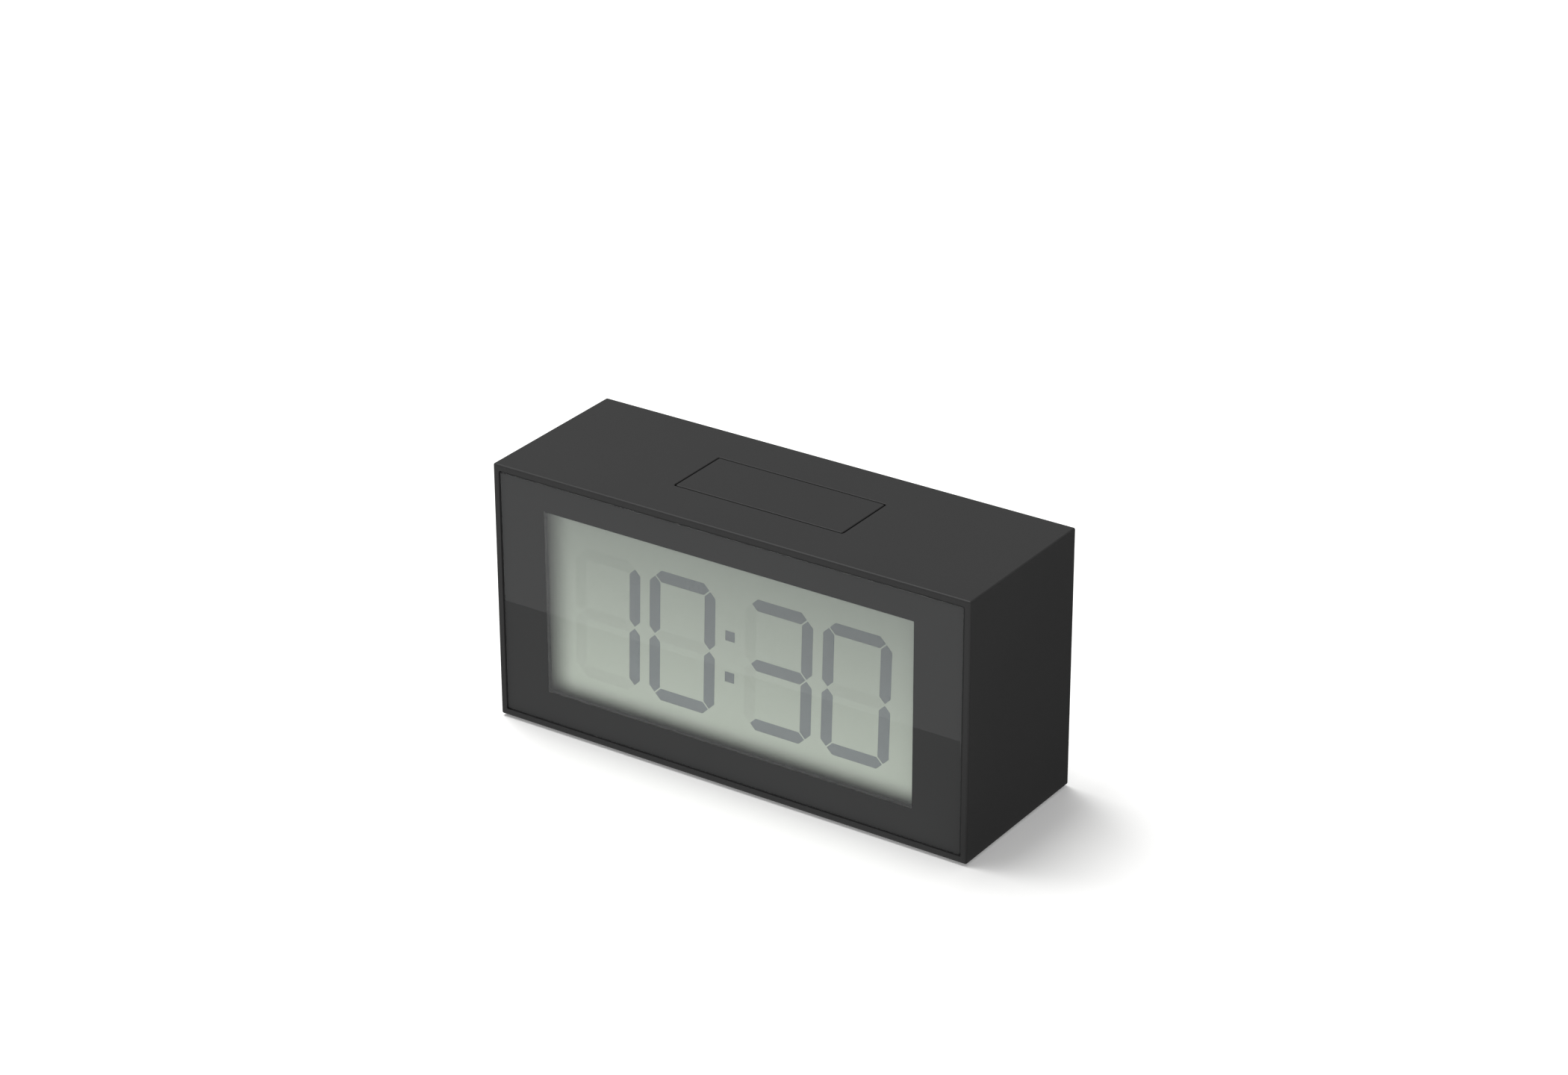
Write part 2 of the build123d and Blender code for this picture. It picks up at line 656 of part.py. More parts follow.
def make_main_board():
    """The circuit board that closes the back of the display frame."""
    with BuildPart() as main_board:
        with BuildSketch(depth_plane(BOARD_BACK)):
            with Locations((0, MID_Z)):
                RectangleRounded(BOARD_WIDTH, BOARD_HEIGHT, BOARD_RADIUS)
                with GridLocations(2 * BOARD_SCREW_X, 2 * BOARD_SCREW_Z, 2, 2):
                    Circle(BOARD_HOLE_RADIUS, mode=Mode.SUBTRACT)
        extrude(amount=BOARD_THICKNESS)
    save(main_board, "main_board")


def make_chip_cap():
    """The epoxy drop over the bare clock chip, a low dome cut from a sphere."""
    dome_radius = (CHIP_CAP_RADIUS ** 2 + CHIP_CAP_HEIGHT ** 2) / (2 * CHIP_CAP_HEIGHT)
    with BuildPart() as chip_cap:
        with BuildSketch(depth_plane(BOARD_BACK)):
            with Locations((CHIP_CAP_X, CHIP_CAP_Z)):
                Circle(CHIP_CAP_RADIUS)
        extrude(amount=-CHIP_CAP_HEIGHT)
        with Locations((CHIP_CAP_X, to_y(BOARD_BACK + CHIP_CAP_HEIGHT - dome_radius), CHIP_CAP_Z)):
            Sphere(dome_radius, mode=Mode.INTERSECT)
    save(chip_cap, "chip_cap")


def make_quartz_crystal():
    """A small metal can that lies on the board, with two leads bent into the board."""
    lying = to_y(BOARD_BACK) + CRYSTAL_RADIUS
    lead_z = (CRYSTAL_Z - CRYSTAL_LEAD_SPREAD, CRYSTAL_Z + CRYSTAL_LEAD_SPREAD)
    lead_end = CRYSTAL_X - CRYSTAL_LEAD_REACH + CRYSTAL_LEAD_RADIUS
    with BuildPart() as quartz_crystal:
        with BuildSketch(Plane.YZ.offset(CRYSTAL_X)):
            with Locations((lying, CRYSTAL_Z)):
                Circle(CRYSTAL_RADIUS)
        extrude(amount=CRYSTAL_LENGTH)
        fillet(quartz_crystal.edges().sort_by(Axis.X)[-1], CAN_EDGE_RADIUS)
        with BuildSketch(Plane.YZ.offset(CRYSTAL_X)):
            with Locations(*[(lying, z) for z in lead_z]):
                Circle(CRYSTAL_LEAD_RADIUS)
        extrude(amount=-CRYSTAL_LEAD_REACH)
        with BuildSketch(depth_plane(BOARD_BACK)):
            with Locations(*[(lead_end, z) for z in lead_z]):
                Circle(CRYSTAL_LEAD_RADIUS)
        extrude(amount=-CRYSTAL_RADIUS)
    save(quartz_crystal, "quartz_crystal")


def make_board_parts():
    """Chip resistors and capacitors, and one standing can capacitor."""
    with BuildPart() as board_parts:
        with BuildSketch(depth_plane(BOARD_BACK)):
            with Locations((CHIP_X, CHIP_Z)):
                with GridLocations(2 * CHIP_LENGTH, 4 * CHIP_WIDTH, 3, 3):
                    Rectangle(CHIP_LENGTH, CHIP_WIDTH)
        extrude(amount=-CHIP_HEIGHT)
        with BuildSketch(depth_plane(BOARD_BACK)):
            with Locations((CAN_X, CAN_Z)):
                Circle(CAN_RADIUS)
        extrude(amount=-CAN_HEIGHT)
        fillet(board_parts.edges().sort_by(Axis.Y)[-1], CAN_EDGE_RADIUS)
    save(board_parts, "board_parts")


# Snooze button ------------------------------------------------------------------------------

def make_snooze_button():
    """The cap, flush with the top, with a captive flange, a pusher and two guide posts."""
    plunger_top = SNOOZE_BOARD_TOP + SWITCH_HEIGHT + PLUNGER_RISE
    with BuildPart() as snooze_button:
        with BuildSketch(Plane.XY.offset(FLANGE_TOP)):
            RectangleRounded(BUTTON_OPENING_WIDTH - 2 * BUTTON_GAP,
                             BUTTON_OPENING_DEPTH - 2 * BUTTON_GAP, EDGE_RADIUS)
        extrude(amount=CASE_TOP - FLANGE_TOP)
        fillet(snooze_button.faces().sort_by(Axis.Z)[-1].edges(), SMALL_RADIUS)
        with BuildSketch(Plane.XY.offset(FLANGE_BOTTOM)):
            RectangleRounded(FLANGE_WIDTH, FLANGE_DEPTH, FLANGE_RADIUS)
        extrude(amount=FLANGE_TOP - FLANGE_BOTTOM)
        with BuildSketch(Plane.XY.offset(POST_BOTTOM)):
            with GridLocations(2 * POST_X, 0, 2, 1):
                Circle(POST_RADIUS)
        extrude(amount=FLANGE_BOTTOM - POST_BOTTOM)
        with BuildSketch(Plane.XY.offset(plunger_top)):
            Circle(PUSHER_RADIUS)
        extrude(amount=FLANGE_BOTTOM - plunger_top)
    save(snooze_button, "snooze_button")


def make_snooze_bridge():
    """The plate under the button that carries its springs, guides and switch board."""
    with BuildPart() as snooze_bridge:
        with BuildSketch(Plane.XY.offset(BRIDGE_TOP - BRIDGE_THICKNESS)):
            RectangleRounded(BRIDGE_WIDTH, BRIDGE_DEPTH, BRIDGE_RADIUS)
            with GridLocations(2 * POST_X, 0, 2, 1):
                Circle(POST_HOLE_RADIUS, mode=Mode.SUBTRACT)
            with GridLocations(2 * BRIDGE_SCREW_X, 0, 2, 1):
                Circle(BOARD_HOLE_RADIUS, mode=Mode.SUBTRACT)
            with GridLocations(2 * SNOOZE_SCREW_X, 0, 2, 1):
                Circle(SCREW_HOLE_RADIUS, mode=Mode.SUBTRACT)
        extrude(amount=BRIDGE_THICKNESS)
    save(snooze_bridge, "snooze_bridge")


def make_snooze_springs():
    """Two small coil springs round the guide posts."""
    height = FLANGE_BOTTOM - BRIDGE_TOP - SPRING_WIRE
    with BuildPart() as snooze_springs:
        for x in (-POST_X, POST_X):
            base = Vector(x, 0, BRIDGE_TOP + SPRING_WIRE / 2)
            with BuildLine():
                coil = Helix(height / SPRING_TURNS, height, SPRING_RADIUS - SPRING_WIRE / 2,
                             center=base)
            with BuildSketch(Plane(origin=coil @ 0, z_dir=coil % 0)):
                Circle(SPRING_WIRE / 2)
            sweep(path=coil, is_frenet=True)
    save(snooze_springs, "snooze_springs")


def make_snooze_board():
    """The small circuit board on the bridge, under the middle of the button."""
    with BuildPart() as snooze_board:
        with BuildSketch(Plane.XY.offset(BRIDGE_TOP)):
            RectangleRounded(SNOOZE_BOARD_WIDTH, SNOOZE_BOARD_DEPTH, SNOOZE_BOARD_RADIUS)
            with GridLocations(2 * SNOOZE_SCREW_X, 0, 2, 1):
                Circle(BOARD_HOLE_RADIUS, mode=Mode.SUBTRACT)
        extrude(amount=SNOOZE_BOARD_TOP - BRIDGE_TOP)
    save(snooze_board, "snooze_board")


def make_switch_housings(name, plane, places):
    """Square tactile switch bodies standing on the plane, each with a well for its plunger."""
    with BuildPart() as switch_housings:
        with BuildSketch(plane):
            with Locations(*places):
                RectangleRounded(SWITCH_SIZE, SWITCH_SIZE, SWITCH_RADIUS)
        extrude(amount=SWITCH_HEIGHT)
        with BuildSketch(plane.offset(SWITCH_HEIGHT)):
            with Locations(*places):
                Circle(PLUNGER_HOLE_RADIUS)
        extrude(amount=-SWITCH_WELL, mode=Mode.SUBTRACT)
    save(switch_housings, name)


def make_plunger(name, plane, place):
    """A round plunger, seen standing on the board plane of its switch."""
    with BuildPart() as plunger:
        with BuildSketch(plane.offset(SWITCH_HEIGHT + PLUNGER_RISE)):
            with Locations(place):
                Circle(PLUNGER_RADIUS)
        extrude(amount=-PLUNGER_RISE - PLUNGER_DEPTH)
    save(plunger, name)


def make_snooze_ribbon():
    """The flat cable from the snooze board down to the back of the main board."""
    board_edge = -SNOOZE_BOARD_DEPTH / 2
    down = to_y(BOARD_BACK) + RIBBON_THICKNESS / 2
    level = SNOOZE_BOARD_TOP + RIBBON_THICKNESS / 2
    with BuildPart() as snooze_ribbon:
        with BuildLine() as route:
            FilletPolyline((0, board_edge + RIBBON_BEND, level), (0, down, level),
                           (0, down, SNOOZE_RIBBON_END_Z), radius=RIBBON_BEND)
        with BuildSketch(Plane(origin=route.line @ 0, x_dir=(1, 0, 0), z_dir=route.line % 0)):
            Rectangle(RIBBON_WIDTH, RIBBON_THICKNESS)
        sweep()
    save(snooze_ribbon, "snooze_ribbon")


def make_snooze_group():
    """The button and all that the bridge under it carries."""
    switch_plane = Plane.XY.offset(SNOOZE_BOARD_TOP)
    upside_down = Plane(origin=(0, 0, BRIDGE_TOP - BRIDGE_THICKNESS), x_dir=(1, 0, 0),
                        z_dir=(0, 0, -1))
    make_snooze_button()
    make_snooze_bridge()
    make_snooze_springs()
    make_snooze_board()
    make_switch_housings("snooze_switch", switch_plane, [(0, 0)])
    make_plunger("snooze_plunger", switch_plane, (0, 0))
    make_snooze_ribbon()
    screws("snooze_bridge_screws", upside_down,
           [(-BRIDGE_SCREW_X, 0), (BRIDGE_SCREW_X, 0)], SCREW_LENGTH)
    screws("snooze_board_screws", Plane.XY.offset(SNOOZE_BOARD_TOP),
           [(-SNOOZE_SCREW_X, 0), (SNOOZE_SCREW_X, 0)], SNOOZE_BOARD_SCREW_LENGTH,
           head_radius=SNOOZE_BOARD_SCREW_HEAD)


# Rear cover ---------------------------------------------------------------------------------

def make_rear_cover():
    """The inset back, with the battery bay, key holes, switch slot and sound holes."""
    with BuildPart() as rear_cover:
        with BuildSketch(depth_plane(DEPTH)):
            with Locations((0, MID_Z)):
                RectangleRounded(FRAMED_WIDTH - 2 * COVER_FIT, FRAMED_HEIGHT - 2 * COVER_FIT,
                                 EDGE_RADIUS)
        extrude(amount=COVER_THICKNESS)
        fillet(rear_cover.faces().sort_by(Axis.Y)[-1].edges(), SMALL_RADIUS)
        # Battery bay and the rim that the door rests on
        with BuildSketch(depth_plane(COVER_INNER)):
            with Locations((BAY_X, BAY_Z)):
                Rectangle(DOOR_LENGTH + BAY_RIM_MARGIN, DOOR_HEIGHT + BAY_RIM_MARGIN)
        extrude(amount=COVER_INNER - BAY_RIM)
        with BuildSketch(depth_plane(COVER_INNER)):
            with Locations((BAY_X, BAY_Z)):
                Rectangle(BAY_LENGTH + 2 * BAY_WALL, BAY_HEIGHT + 2 * BAY_WALL)
        extrude(amount=COVER_INNER - BAY_FLOOR)
        with BuildSketch(depth_plane(DEPTH)):
            with Locations((BAY_X, BAY_Z)):
                Rectangle(BAY_LENGTH, BAY_HEIGHT)
        extrude(amount=DEPTH - BAY_FLOOR - BAY_WALL, mode=Mode.SUBTRACT)
        with BuildSketch(depth_plane(DEPTH)):
            with Locations((BAY_X, BAY_Z)):
                Rectangle(DOOR_LENGTH + 2 * DOOR_FIT, DOOR_HEIGHT + 2 * DOOR_FIT)
        extrude(amount=COVER_THICKNESS, mode=Mode.SUBTRACT)
        # Hinge sockets, and the finger notch above the door
        with BuildSketch(Plane.YZ.offset(BAY_X)):
            with Locations((to_y(DOOR_AXIS_DEPTH), DOOR_AXIS_Z)):
                Circle(DOOR_PIN_HOLE_RADIUS)
        extrude(amount=DOOR_LENGTH / 2 + DOOR_FIT + DOOR_PIN_LENGTH, both=True,
                mode=Mode.SUBTRACT)
        with BuildSketch(depth_plane(DEPTH)):
            with Locations((BAY_X, BAY_Z + DOOR_HEIGHT / 2)):
                RectangleRounded(GRIP_WIDTH, NAIL_NOTCH_HEIGHT, NAIL_NOTCH_RADIUS)
        extrude(amount=NAIL_NOTCH_DEPTH, mode=Mode.SUBTRACT)
        # Slots that let the contact tabs through the floor of the bay
        with BuildSketch(depth_plane(BAY_FLOOR + BAY_WALL)):
            with Locations((BAY_X - BAY_LENGTH / 2 + TAB_SLOT_WIDTH / 2, BAY_Z)):
                with GridLocations(0, CELL_PITCH, 1, 2):
                    Rectangle(TAB_SLOT_WIDTH, TAB_SLOT_HEIGHT)
        extrude(amount=2 * BAY_WALL, mode=Mode.SUBTRACT)
        # Openings for the keys, the alarm switch and the sounder
        with BuildSketch(depth_plane(DEPTH)):
            with Locations(*[(x, KEY_Z) for x in KEY_X]):
                Circle(KEY_RADIUS + KEY_GAP)
            with Locations((ALARM_X, ALARM_Z)):
                Rectangle(KNOB_WIDTH + ALARM_TRAVEL + 2 * SLOT_CLEARANCE,
                          KNOB_HEIGHT + 2 * SLOT_CLEARANCE)
            with Locations((BUZZER_X, BUZZER_Z)):
                Circle(SOUND_HOLE_RADIUS)
                with PolarLocations(SOUND_RING_RADIUS, SOUND_HOLES):
                    Circle(SOUND_HOLE_RADIUS)
        extrude(amount=COVER_THICKNESS, mode=Mode.SUBTRACT)
        # Posts of the key board
        with BuildSketch(depth_plane(COVER_INNER)):
            with Locations((KEY_BOARD_X, KEY_BOARD_Z)):
                with GridLocations(2 * KEY_POST_X, 2 * KEY_POST_Z, 2, 2):
                    Circle(KEY_POST_RADIUS)
        extrude(amount=COVER_INNER - KEY_BOARD_BACK)
        with BuildSketch(depth_plane(KEY_BOARD_BACK)):
            with Locations((KEY_BOARD_X, KEY_BOARD_Z)):
                with GridLocations(2 * KEY_POST_X, 2 * KEY_POST_Z, 2, 2):
                    Circle(SCREW_HOLE_RADIUS)
        extrude(amount=-KEY_POST_HOLE, mode=Mode.SUBTRACT)
        # Sunk screw holes at the corners
        with BuildSketch(depth_plane(DEPTH)):
            with Locations((0, MID_Z)):
                with GridLocations(2 * CORNER_BOSS_X, 2 * CORNER_BOSS_Z, 2, 2):
                    Circle(CLEARANCE_RADIUS)
        extrude(amount=COVER_THICKNESS, mode=Mode.SUBTRACT)
        with BuildSketch(depth_plane(DEPTH)):
            with Locations((0, MID_Z)):
                with GridLocations(2 * CORNER_BOSS_X, 2 * CORNER_BOSS_Z, 2, 2):
                    Circle(SCREW_HEAD_RADIUS + COVER_FIT)
        extrude(amount=SCREW_HEAD_HEIGHT, mode=Mode.SUBTRACT)
    save(rear_cover, "rear_cover")


def make_battery_door():
    """The flush door, rounded along its hinged lower edge, with a pin at each end."""
    top_z = BAY_Z + DOOR_HEIGHT / 2
    with BuildPart() as battery_door:
        with BuildSketch(Plane.YZ.offset(BAY_X)):
            with Locations((to_y(DOOR_AXIS_DEPTH), (DOOR_AXIS_Z + top_z) / 2)):
                Rectangle(DOOR_THICKNESS, top_z - DOOR_AXIS_Z)
            with Locations((to_y(DOOR_AXIS_DEPTH), DOOR_AXIS_Z)):
                Circle(DOOR_EDGE_RADIUS)
        extrude(amount=DOOR_LENGTH / 2, both=True)
        with BuildSketch(Plane.YZ.offset(BAY_X)):
            with Locations((to_y(DOOR_AXIS_DEPTH), DOOR_AXIS_Z)):
                Circle(DOOR_PIN_RADIUS)
        extrude(amount=DOOR_LENGTH / 2 + DOOR_PIN_LENGTH, both=True)
        # Three grip ribs are left between these grooves
        with BuildSketch(depth_plane(DEPTH)):
            with Locations((BAY_X, top_z - GRIP_INSET)):
                with GridLocations(0, GRIP_PITCH, 1, GRIP_GROOVES):
                    Rectangle(GRIP_WIDTH, GRIP_GROOVE)
        extrude(amount=GRIP_DEPTH, mode=Mode.SUBTRACT)
    save(battery_door, "battery_door")


def make_battery_cells():
    """Two AAA cells side by side, head to tail."""
    with BuildPart() as battery_cells:
        for side in (1, -1):
            wall = BAY_X + side * (BAY_LENGTH / 2 - CONTACT_THICKNESS - CONTACT_FIT)
            nub_plane = Plane(origin=(wall, to_y(CELL_DEPTH), BAY_Z + side * CELL_PITCH / 2),
                              x_dir=(0, 1, 0), z_dir=(-side, 0, 0))
            with BuildSketch(nub_plane):
                Circle(CELL_NUB_RADIUS)
            extrude(amount=CELL_NUB_LENGTH)
            with BuildSketch(nub_plane.offset(CELL_NUB_LENGTH)):
                Circle(CELL_RADIUS)
            extrude(amount=CELL_LENGTH)
        fillet(battery_cells.edges().filter_by(GeomType.CIRCLE).filter_by(
            lambda edge: abs(edge.radius - CELL_RADIUS) < 0.01), CELL_EDGE_RADIUS)
    save(battery_cells, "battery_cells")


def make_battery_contacts():
    """The long link plate at one end of the bay, and a plate with a tab for each lead."""
    link_x = BAY_X + BAY_LENGTH / 2 - CONTACT_THICKNESS / 2
    plate_x = BAY_X - BAY_LENGTH / 2 + CONTACT_THICKNESS / 2
    with BuildPart() as battery_contacts:
        with BuildSketch(depth_plane(CONTACT_BACK)):
            with Locations((link_x, BAY_Z)):
                Rectangle(CONTACT_THICKNESS, LINK_HEIGHT)
            with Locations((plate_x, BAY_Z)):
                with GridLocations(0, CELL_PITCH, 1, 2):
                    Rectangle(CONTACT_THICKNESS, CONTACT_WIDTH)
        extrude(amount=CONTACT_BACK - CONTACT_FRONT)
        with BuildSketch(depth_plane(CONTACT_FRONT)):
            with Locations((plate_x, BAY_Z)):
                with GridLocations(0, CELL_PITCH, 1, 2):
                    Rectangle(CONTACT_THICKNESS, TAB_HEIGHT)
        extrude(amount=CONTACT_FRONT - BAY_FLOOR + TAB_REACH)
    save(battery_contacts, "battery_contacts")


def make_battery_springs():
    """A cone spring at the flat end of each cell."""
    plates = 2 * CONTACT_THICKNESS + CONTACT_FIT
    room = BAY_LENGTH - CELL_LENGTH - CELL_NUB_LENGTH - plates
    height = room - BATTERY_SPRING_WIRE - 2 * BATTERY_SPRING_GAP
    inset = CONTACT_THICKNESS + BATTERY_SPRING_WIRE / 2 + BATTERY_SPRING_GAP
    with BuildPart() as battery_springs:
        for side in (1, -1):
            start = BAY_X + side * (BAY_LENGTH / 2 - inset)
            with BuildLine():
                coil = Helix(height / BATTERY_SPRING_TURNS, height, BATTERY_SPRING_BASE_RADIUS,
                             center=(start, to_y(CELL_DEPTH), BAY_Z - side * CELL_PITCH / 2),
                             direction=(-side, 0, 0), cone_angle=-BATTERY_SPRING_CONE)
            with BuildSketch(Plane(origin=coil @ 0, z_dir=coil % 0)):
                Circle(BATTERY_SPRING_WIRE / 2)
            sweep(path=coil, is_frenet=True)
    save(battery_springs, "battery_springs")


def make_battery_lead(name, side):
    """One round lead from a contact tab forward to the back of the main board."""
    x = BAY_X - BAY_LENGTH / 2 + CONTACT_THICKNESS / 2
    z = BAY_Z + side * CELL_PITCH / 2
    end_x = x - LEAD_SHIFT_X
    end_z = z + side * LEAD_SHIFT_Z
    start = to_y(BAY_FLOOR - TAB_REACH)
    end = to_y(BOARD_BACK)
    reach = (start - end) / 3
    with BuildPart() as battery_lead:
        with BuildLine() as route:
            FilletPolyline((x, start, z), (x, start - reach, z), (end_x, end + reach, end_z),
                           (end_x, end, end_z), radius=LEAD_BEND)
        with BuildSketch(Plane(origin=route.line @ 0, z_dir=route.line % 0)):
            Circle(LEAD_RADIUS)
        sweep()
    save(battery_lead, name)


# Rear keys ----------------------------------------------------------------------------------

def make_key(name, x):
    """A round key, level with the cover, on a flange that keeps it in."""
    with BuildPart() as key:
        with BuildSketch(depth_plane(KEY_FACE_DEPTH)):
            with Locations((x, KEY_Z)):
                Circle(KEY_RADIUS)
        extrude(amount=KEY_FACE_DEPTH - KEY_FLANGE_BACK)
        fillet(key.edges().sort_by(Axis.Y)[-1], KEY_EDGE_RADIUS)
        with BuildSketch(depth_plane(KEY_FLANGE_BACK)):
            with Locations((x, KEY_Z)):
                Circle(KEY_FLANGE_RADIUS)
        extrude(amount=KEY_FLANGE_BACK - KEY_FLANGE_FRONT)
    save(key, name)


def make_key_board():
    """The circuit board behind the rear cover that carries the key and alarm switches."""
    with BuildPart() as key_board:
        with BuildSketch(depth_plane(KEY_BOARD_BACK)):
            with Locations((KEY_BOARD_X, KEY_BOARD_Z)):
                RectangleRounded(KEY_BOARD_WIDTH, KEY_BOARD_HEIGHT, KEY_BOARD_RADIUS)
                with GridLocations(2 * KEY_POST_X, 2 * KEY_POST_Z, 2, 2):
                    Circle(BOARD_HOLE_RADIUS, mode=Mode.SUBTRACT)
        extrude(amount=KEY_BOARD_BACK - KEY_BOARD_FRONT)
    save(key_board, "key_board")


def make_key_ribbon():
    """The flat cable from the key board down, forward and up to the main board."""
    high = to_y(KEY_BOARD_FRONT) - RIBBON_THICKNESS / 2
    near = to_y(BOARD_BACK) + RIBBON_THICKNESS / 2
    x = KEY_BOARD_X
    with BuildPart() as key_ribbon:
        with BuildLine() as route:
            FilletPolyline((x, high, KEY_BOARD_Z), (x, high, KEY_RIBBON_LOW_Z),
                           (x, near, KEY_RIBBON_LOW_Z), (x, near, KEY_RIBBON_END_Z),
                           radius=KEY_RIBBON_BEND)
        with BuildSketch(Plane(origin=route.line @ 0, x_dir=(1, 0, 0), z_dir=route.line % 0)):
            Rectangle(RIBBON_WIDTH, RIBBON_THICKNESS)
        sweep()
    save(key_ribbon, "key_ribbon")


def make_alarm_knob():
    """The sliding thumb piece, grooved for grip, on a flange that covers its slot."""
    x = ALARM_X - ALARM_TRAVEL / 2
    with BuildPart() as alarm_knob:
        with BuildSketch(depth_plane(KNOB_FACE_DEPTH)):
            with Locations((x, ALARM_Z)):
                Rectangle(KNOB_WIDTH, KNOB_HEIGHT)
        extrude(amount=KNOB_FACE_DEPTH - KEY_FLANGE_BACK)
        with BuildSketch(depth_plane(KNOB_FACE_DEPTH)):
            with Locations((x, ALARM_Z)):
                with GridLocations(KNOB_GROOVE_PITCH, 0, KNOB_GROOVES, 1):
                    Rectangle(KNOB_GROOVE, KNOB_HEIGHT)
        extrude(amount=KNOB_GROOVE, mode=Mode.SUBTRACT)
        with BuildSketch(depth_plane(KEY_FLANGE_BACK)):
            with Locations((x, ALARM_Z)):
                Rectangle(KNOB_FLANGE_WIDTH, KNOB_FLANGE_HEIGHT)
        extrude(amount=KEY_FLANGE_BACK - KNOB_FLANGE_FRONT)
    save(alarm_knob, "alarm_knob")


def make_alarm_switch():
    """The slide switch body, with a slot along its back for the lever."""
    with BuildPart() as alarm_switch:
        with BuildSketch(depth_plane(KEY_BOARD_BACK)):
            with Locations((ALARM_X, ALARM_Z)):
                Rectangle(ALARM_CASE_WIDTH, ALARM_CASE_HEIGHT)
        extrude(amount=-SWITCH_HEIGHT)
        with BuildSketch(depth_plane(KEY_BOARD_BACK + SWITCH_HEIGHT)):
            with Locations((ALARM_X, ALARM_Z)):
                Rectangle(LEVER_SIZE + ALARM_TRAVEL + 2 * SLOT_CLEARANCE,
                          LEVER_SIZE + SLOT_CLEARANCE)
        extrude(amount=SWITCH_WELL, mode=Mode.SUBTRACT)
    save(alarm_switch, "alarm_switch")


def make_alarm_lever():
    """The lever of the slide switch, which the knob pushes along."""
    with BuildPart() as alarm_lever:
        with BuildSketch(depth_plane(KNOB_FLANGE_FRONT)):
            with Locations((ALARM_X - ALARM_TRAVEL / 2, ALARM_Z)):
                Rectangle(LEVER_SIZE, LEVER_SIZE)
        extrude(amount=KNOB_FLANGE_FRONT - KEY_BOARD_BACK - SWITCH_HEIGHT + PLUNGER_DEPTH)
    save(alarm_lever, "alarm_lever")


def make_buzzer():
    """The sounder: a ring glued round the sound holes, and the thin disc in it."""
    with BuildPart() as buzzer_ring:
        with BuildSketch(depth_plane(COVER_INNER)):
            with Locations((BUZZER_X, BUZZER_Z)):
                Circle(BUZZER_RADIUS)
                Circle(BUZZER_RADIUS - BUZZER_WALL, mode=Mode.SUBTRACT)
        extrude(amount=COVER_INNER - BUZZER_FRONT)
    save(buzzer_ring, "buzzer_ring")
    with BuildPart() as buzzer_disc:
        with BuildSketch(depth_plane(BUZZER_DISC_DEPTH)):
            with Locations((BUZZER_X, BUZZER_Z)):
                Circle(BUZZER_RADIUS - BUZZER_WALL)
        extrude(amount=BUZZER_DISC_THICKNESS)
    save(buzzer_disc, "buzzer_disc")


def facing_back(depth):
    """A sketch plane that faces the back, where sketch X is minus X and sketch Y is Z."""
    return Plane(origin=(0, to_y(depth), 0), x_dir=(-1, 0, 0), z_dir=(0, 1, 0))


def make_rear_group():
    """The rear cover and all that it carries."""
    key_switch_plane = facing_back(KEY_BOARD_BACK)
    make_rear_cover()
    make_battery_door()
    make_battery_cells()
    make_battery_contacts()
    make_battery_springs()
    make_battery_lead("positive_lead", -1)
    make_battery_lead("negative_lead", 1)
    make_key_board()
    make_key_ribbon()
    make_switch_housings("key_switches", key_switch_plane, [(-x, KEY_Z) for x in KEY_X])
    for name, x in zip(KEY_NAMES, KEY_X):
        make_key(name, x)
        make_plunger(name + "_plunger", key_switch_plane, (-x, KEY_Z))
    make_alarm_knob()
    make_alarm_switch()
    make_alarm_lever()
    make_buzzer()


def four_corners(half_width, half_height, x=0.0, z=MID_Z):
    """The corners of a rectangle about a point, for screws."""
    return [(x + side * half_width, z + level * half_height)
            for side in (-1, 1) for level in (-1, 1)]


def make_case_screws():
    """The four screws of each of the cover, the display frame, the main board and the key board."""
    screws("rear_cover_screws", facing_back(DEPTH - SCREW_HEAD_HEIGHT),
           four_corners(CORNER_BOSS_X, CORNER_BOSS_Z), COVER_SCREW_LENGTH)
    screws("display_frame_screws", facing_back(EAR_FRONT + EAR_THICKNESS),
           four_corners(EAR_X, EAR_Z), EAR_SCREW_LENGTH)
    screws("main_board_screws", facing_back(BOARD_BACK),
           four_corners(BOARD_SCREW_X, BOARD_SCREW_Z), BOARD_SCREW_LENGTH)
    screws("key_board_screws", depth_plane(KEY_BOARD_FRONT),
           four_corners(KEY_POST_X, KEY_POST_Z, KEY_BOARD_X, KEY_BOARD_Z), KEY_BOARD_SCREW_LENGTH)


make_case_shell()
make_front_lens()
make_lens_mask()
make_feet()
make_display_plates()
make_all_segments()
make_light_guide()
make_backlight_leds()
make_display_frame()
make_contact_strip()
make_main_board()
make_chip_cap()
make_quartz_crystal()
make_board_parts()
make_snooze_group()
make_rear_group()
make_case_screws()
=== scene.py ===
import math

import bmesh
import bpy
from mathutils import Matrix, Vector


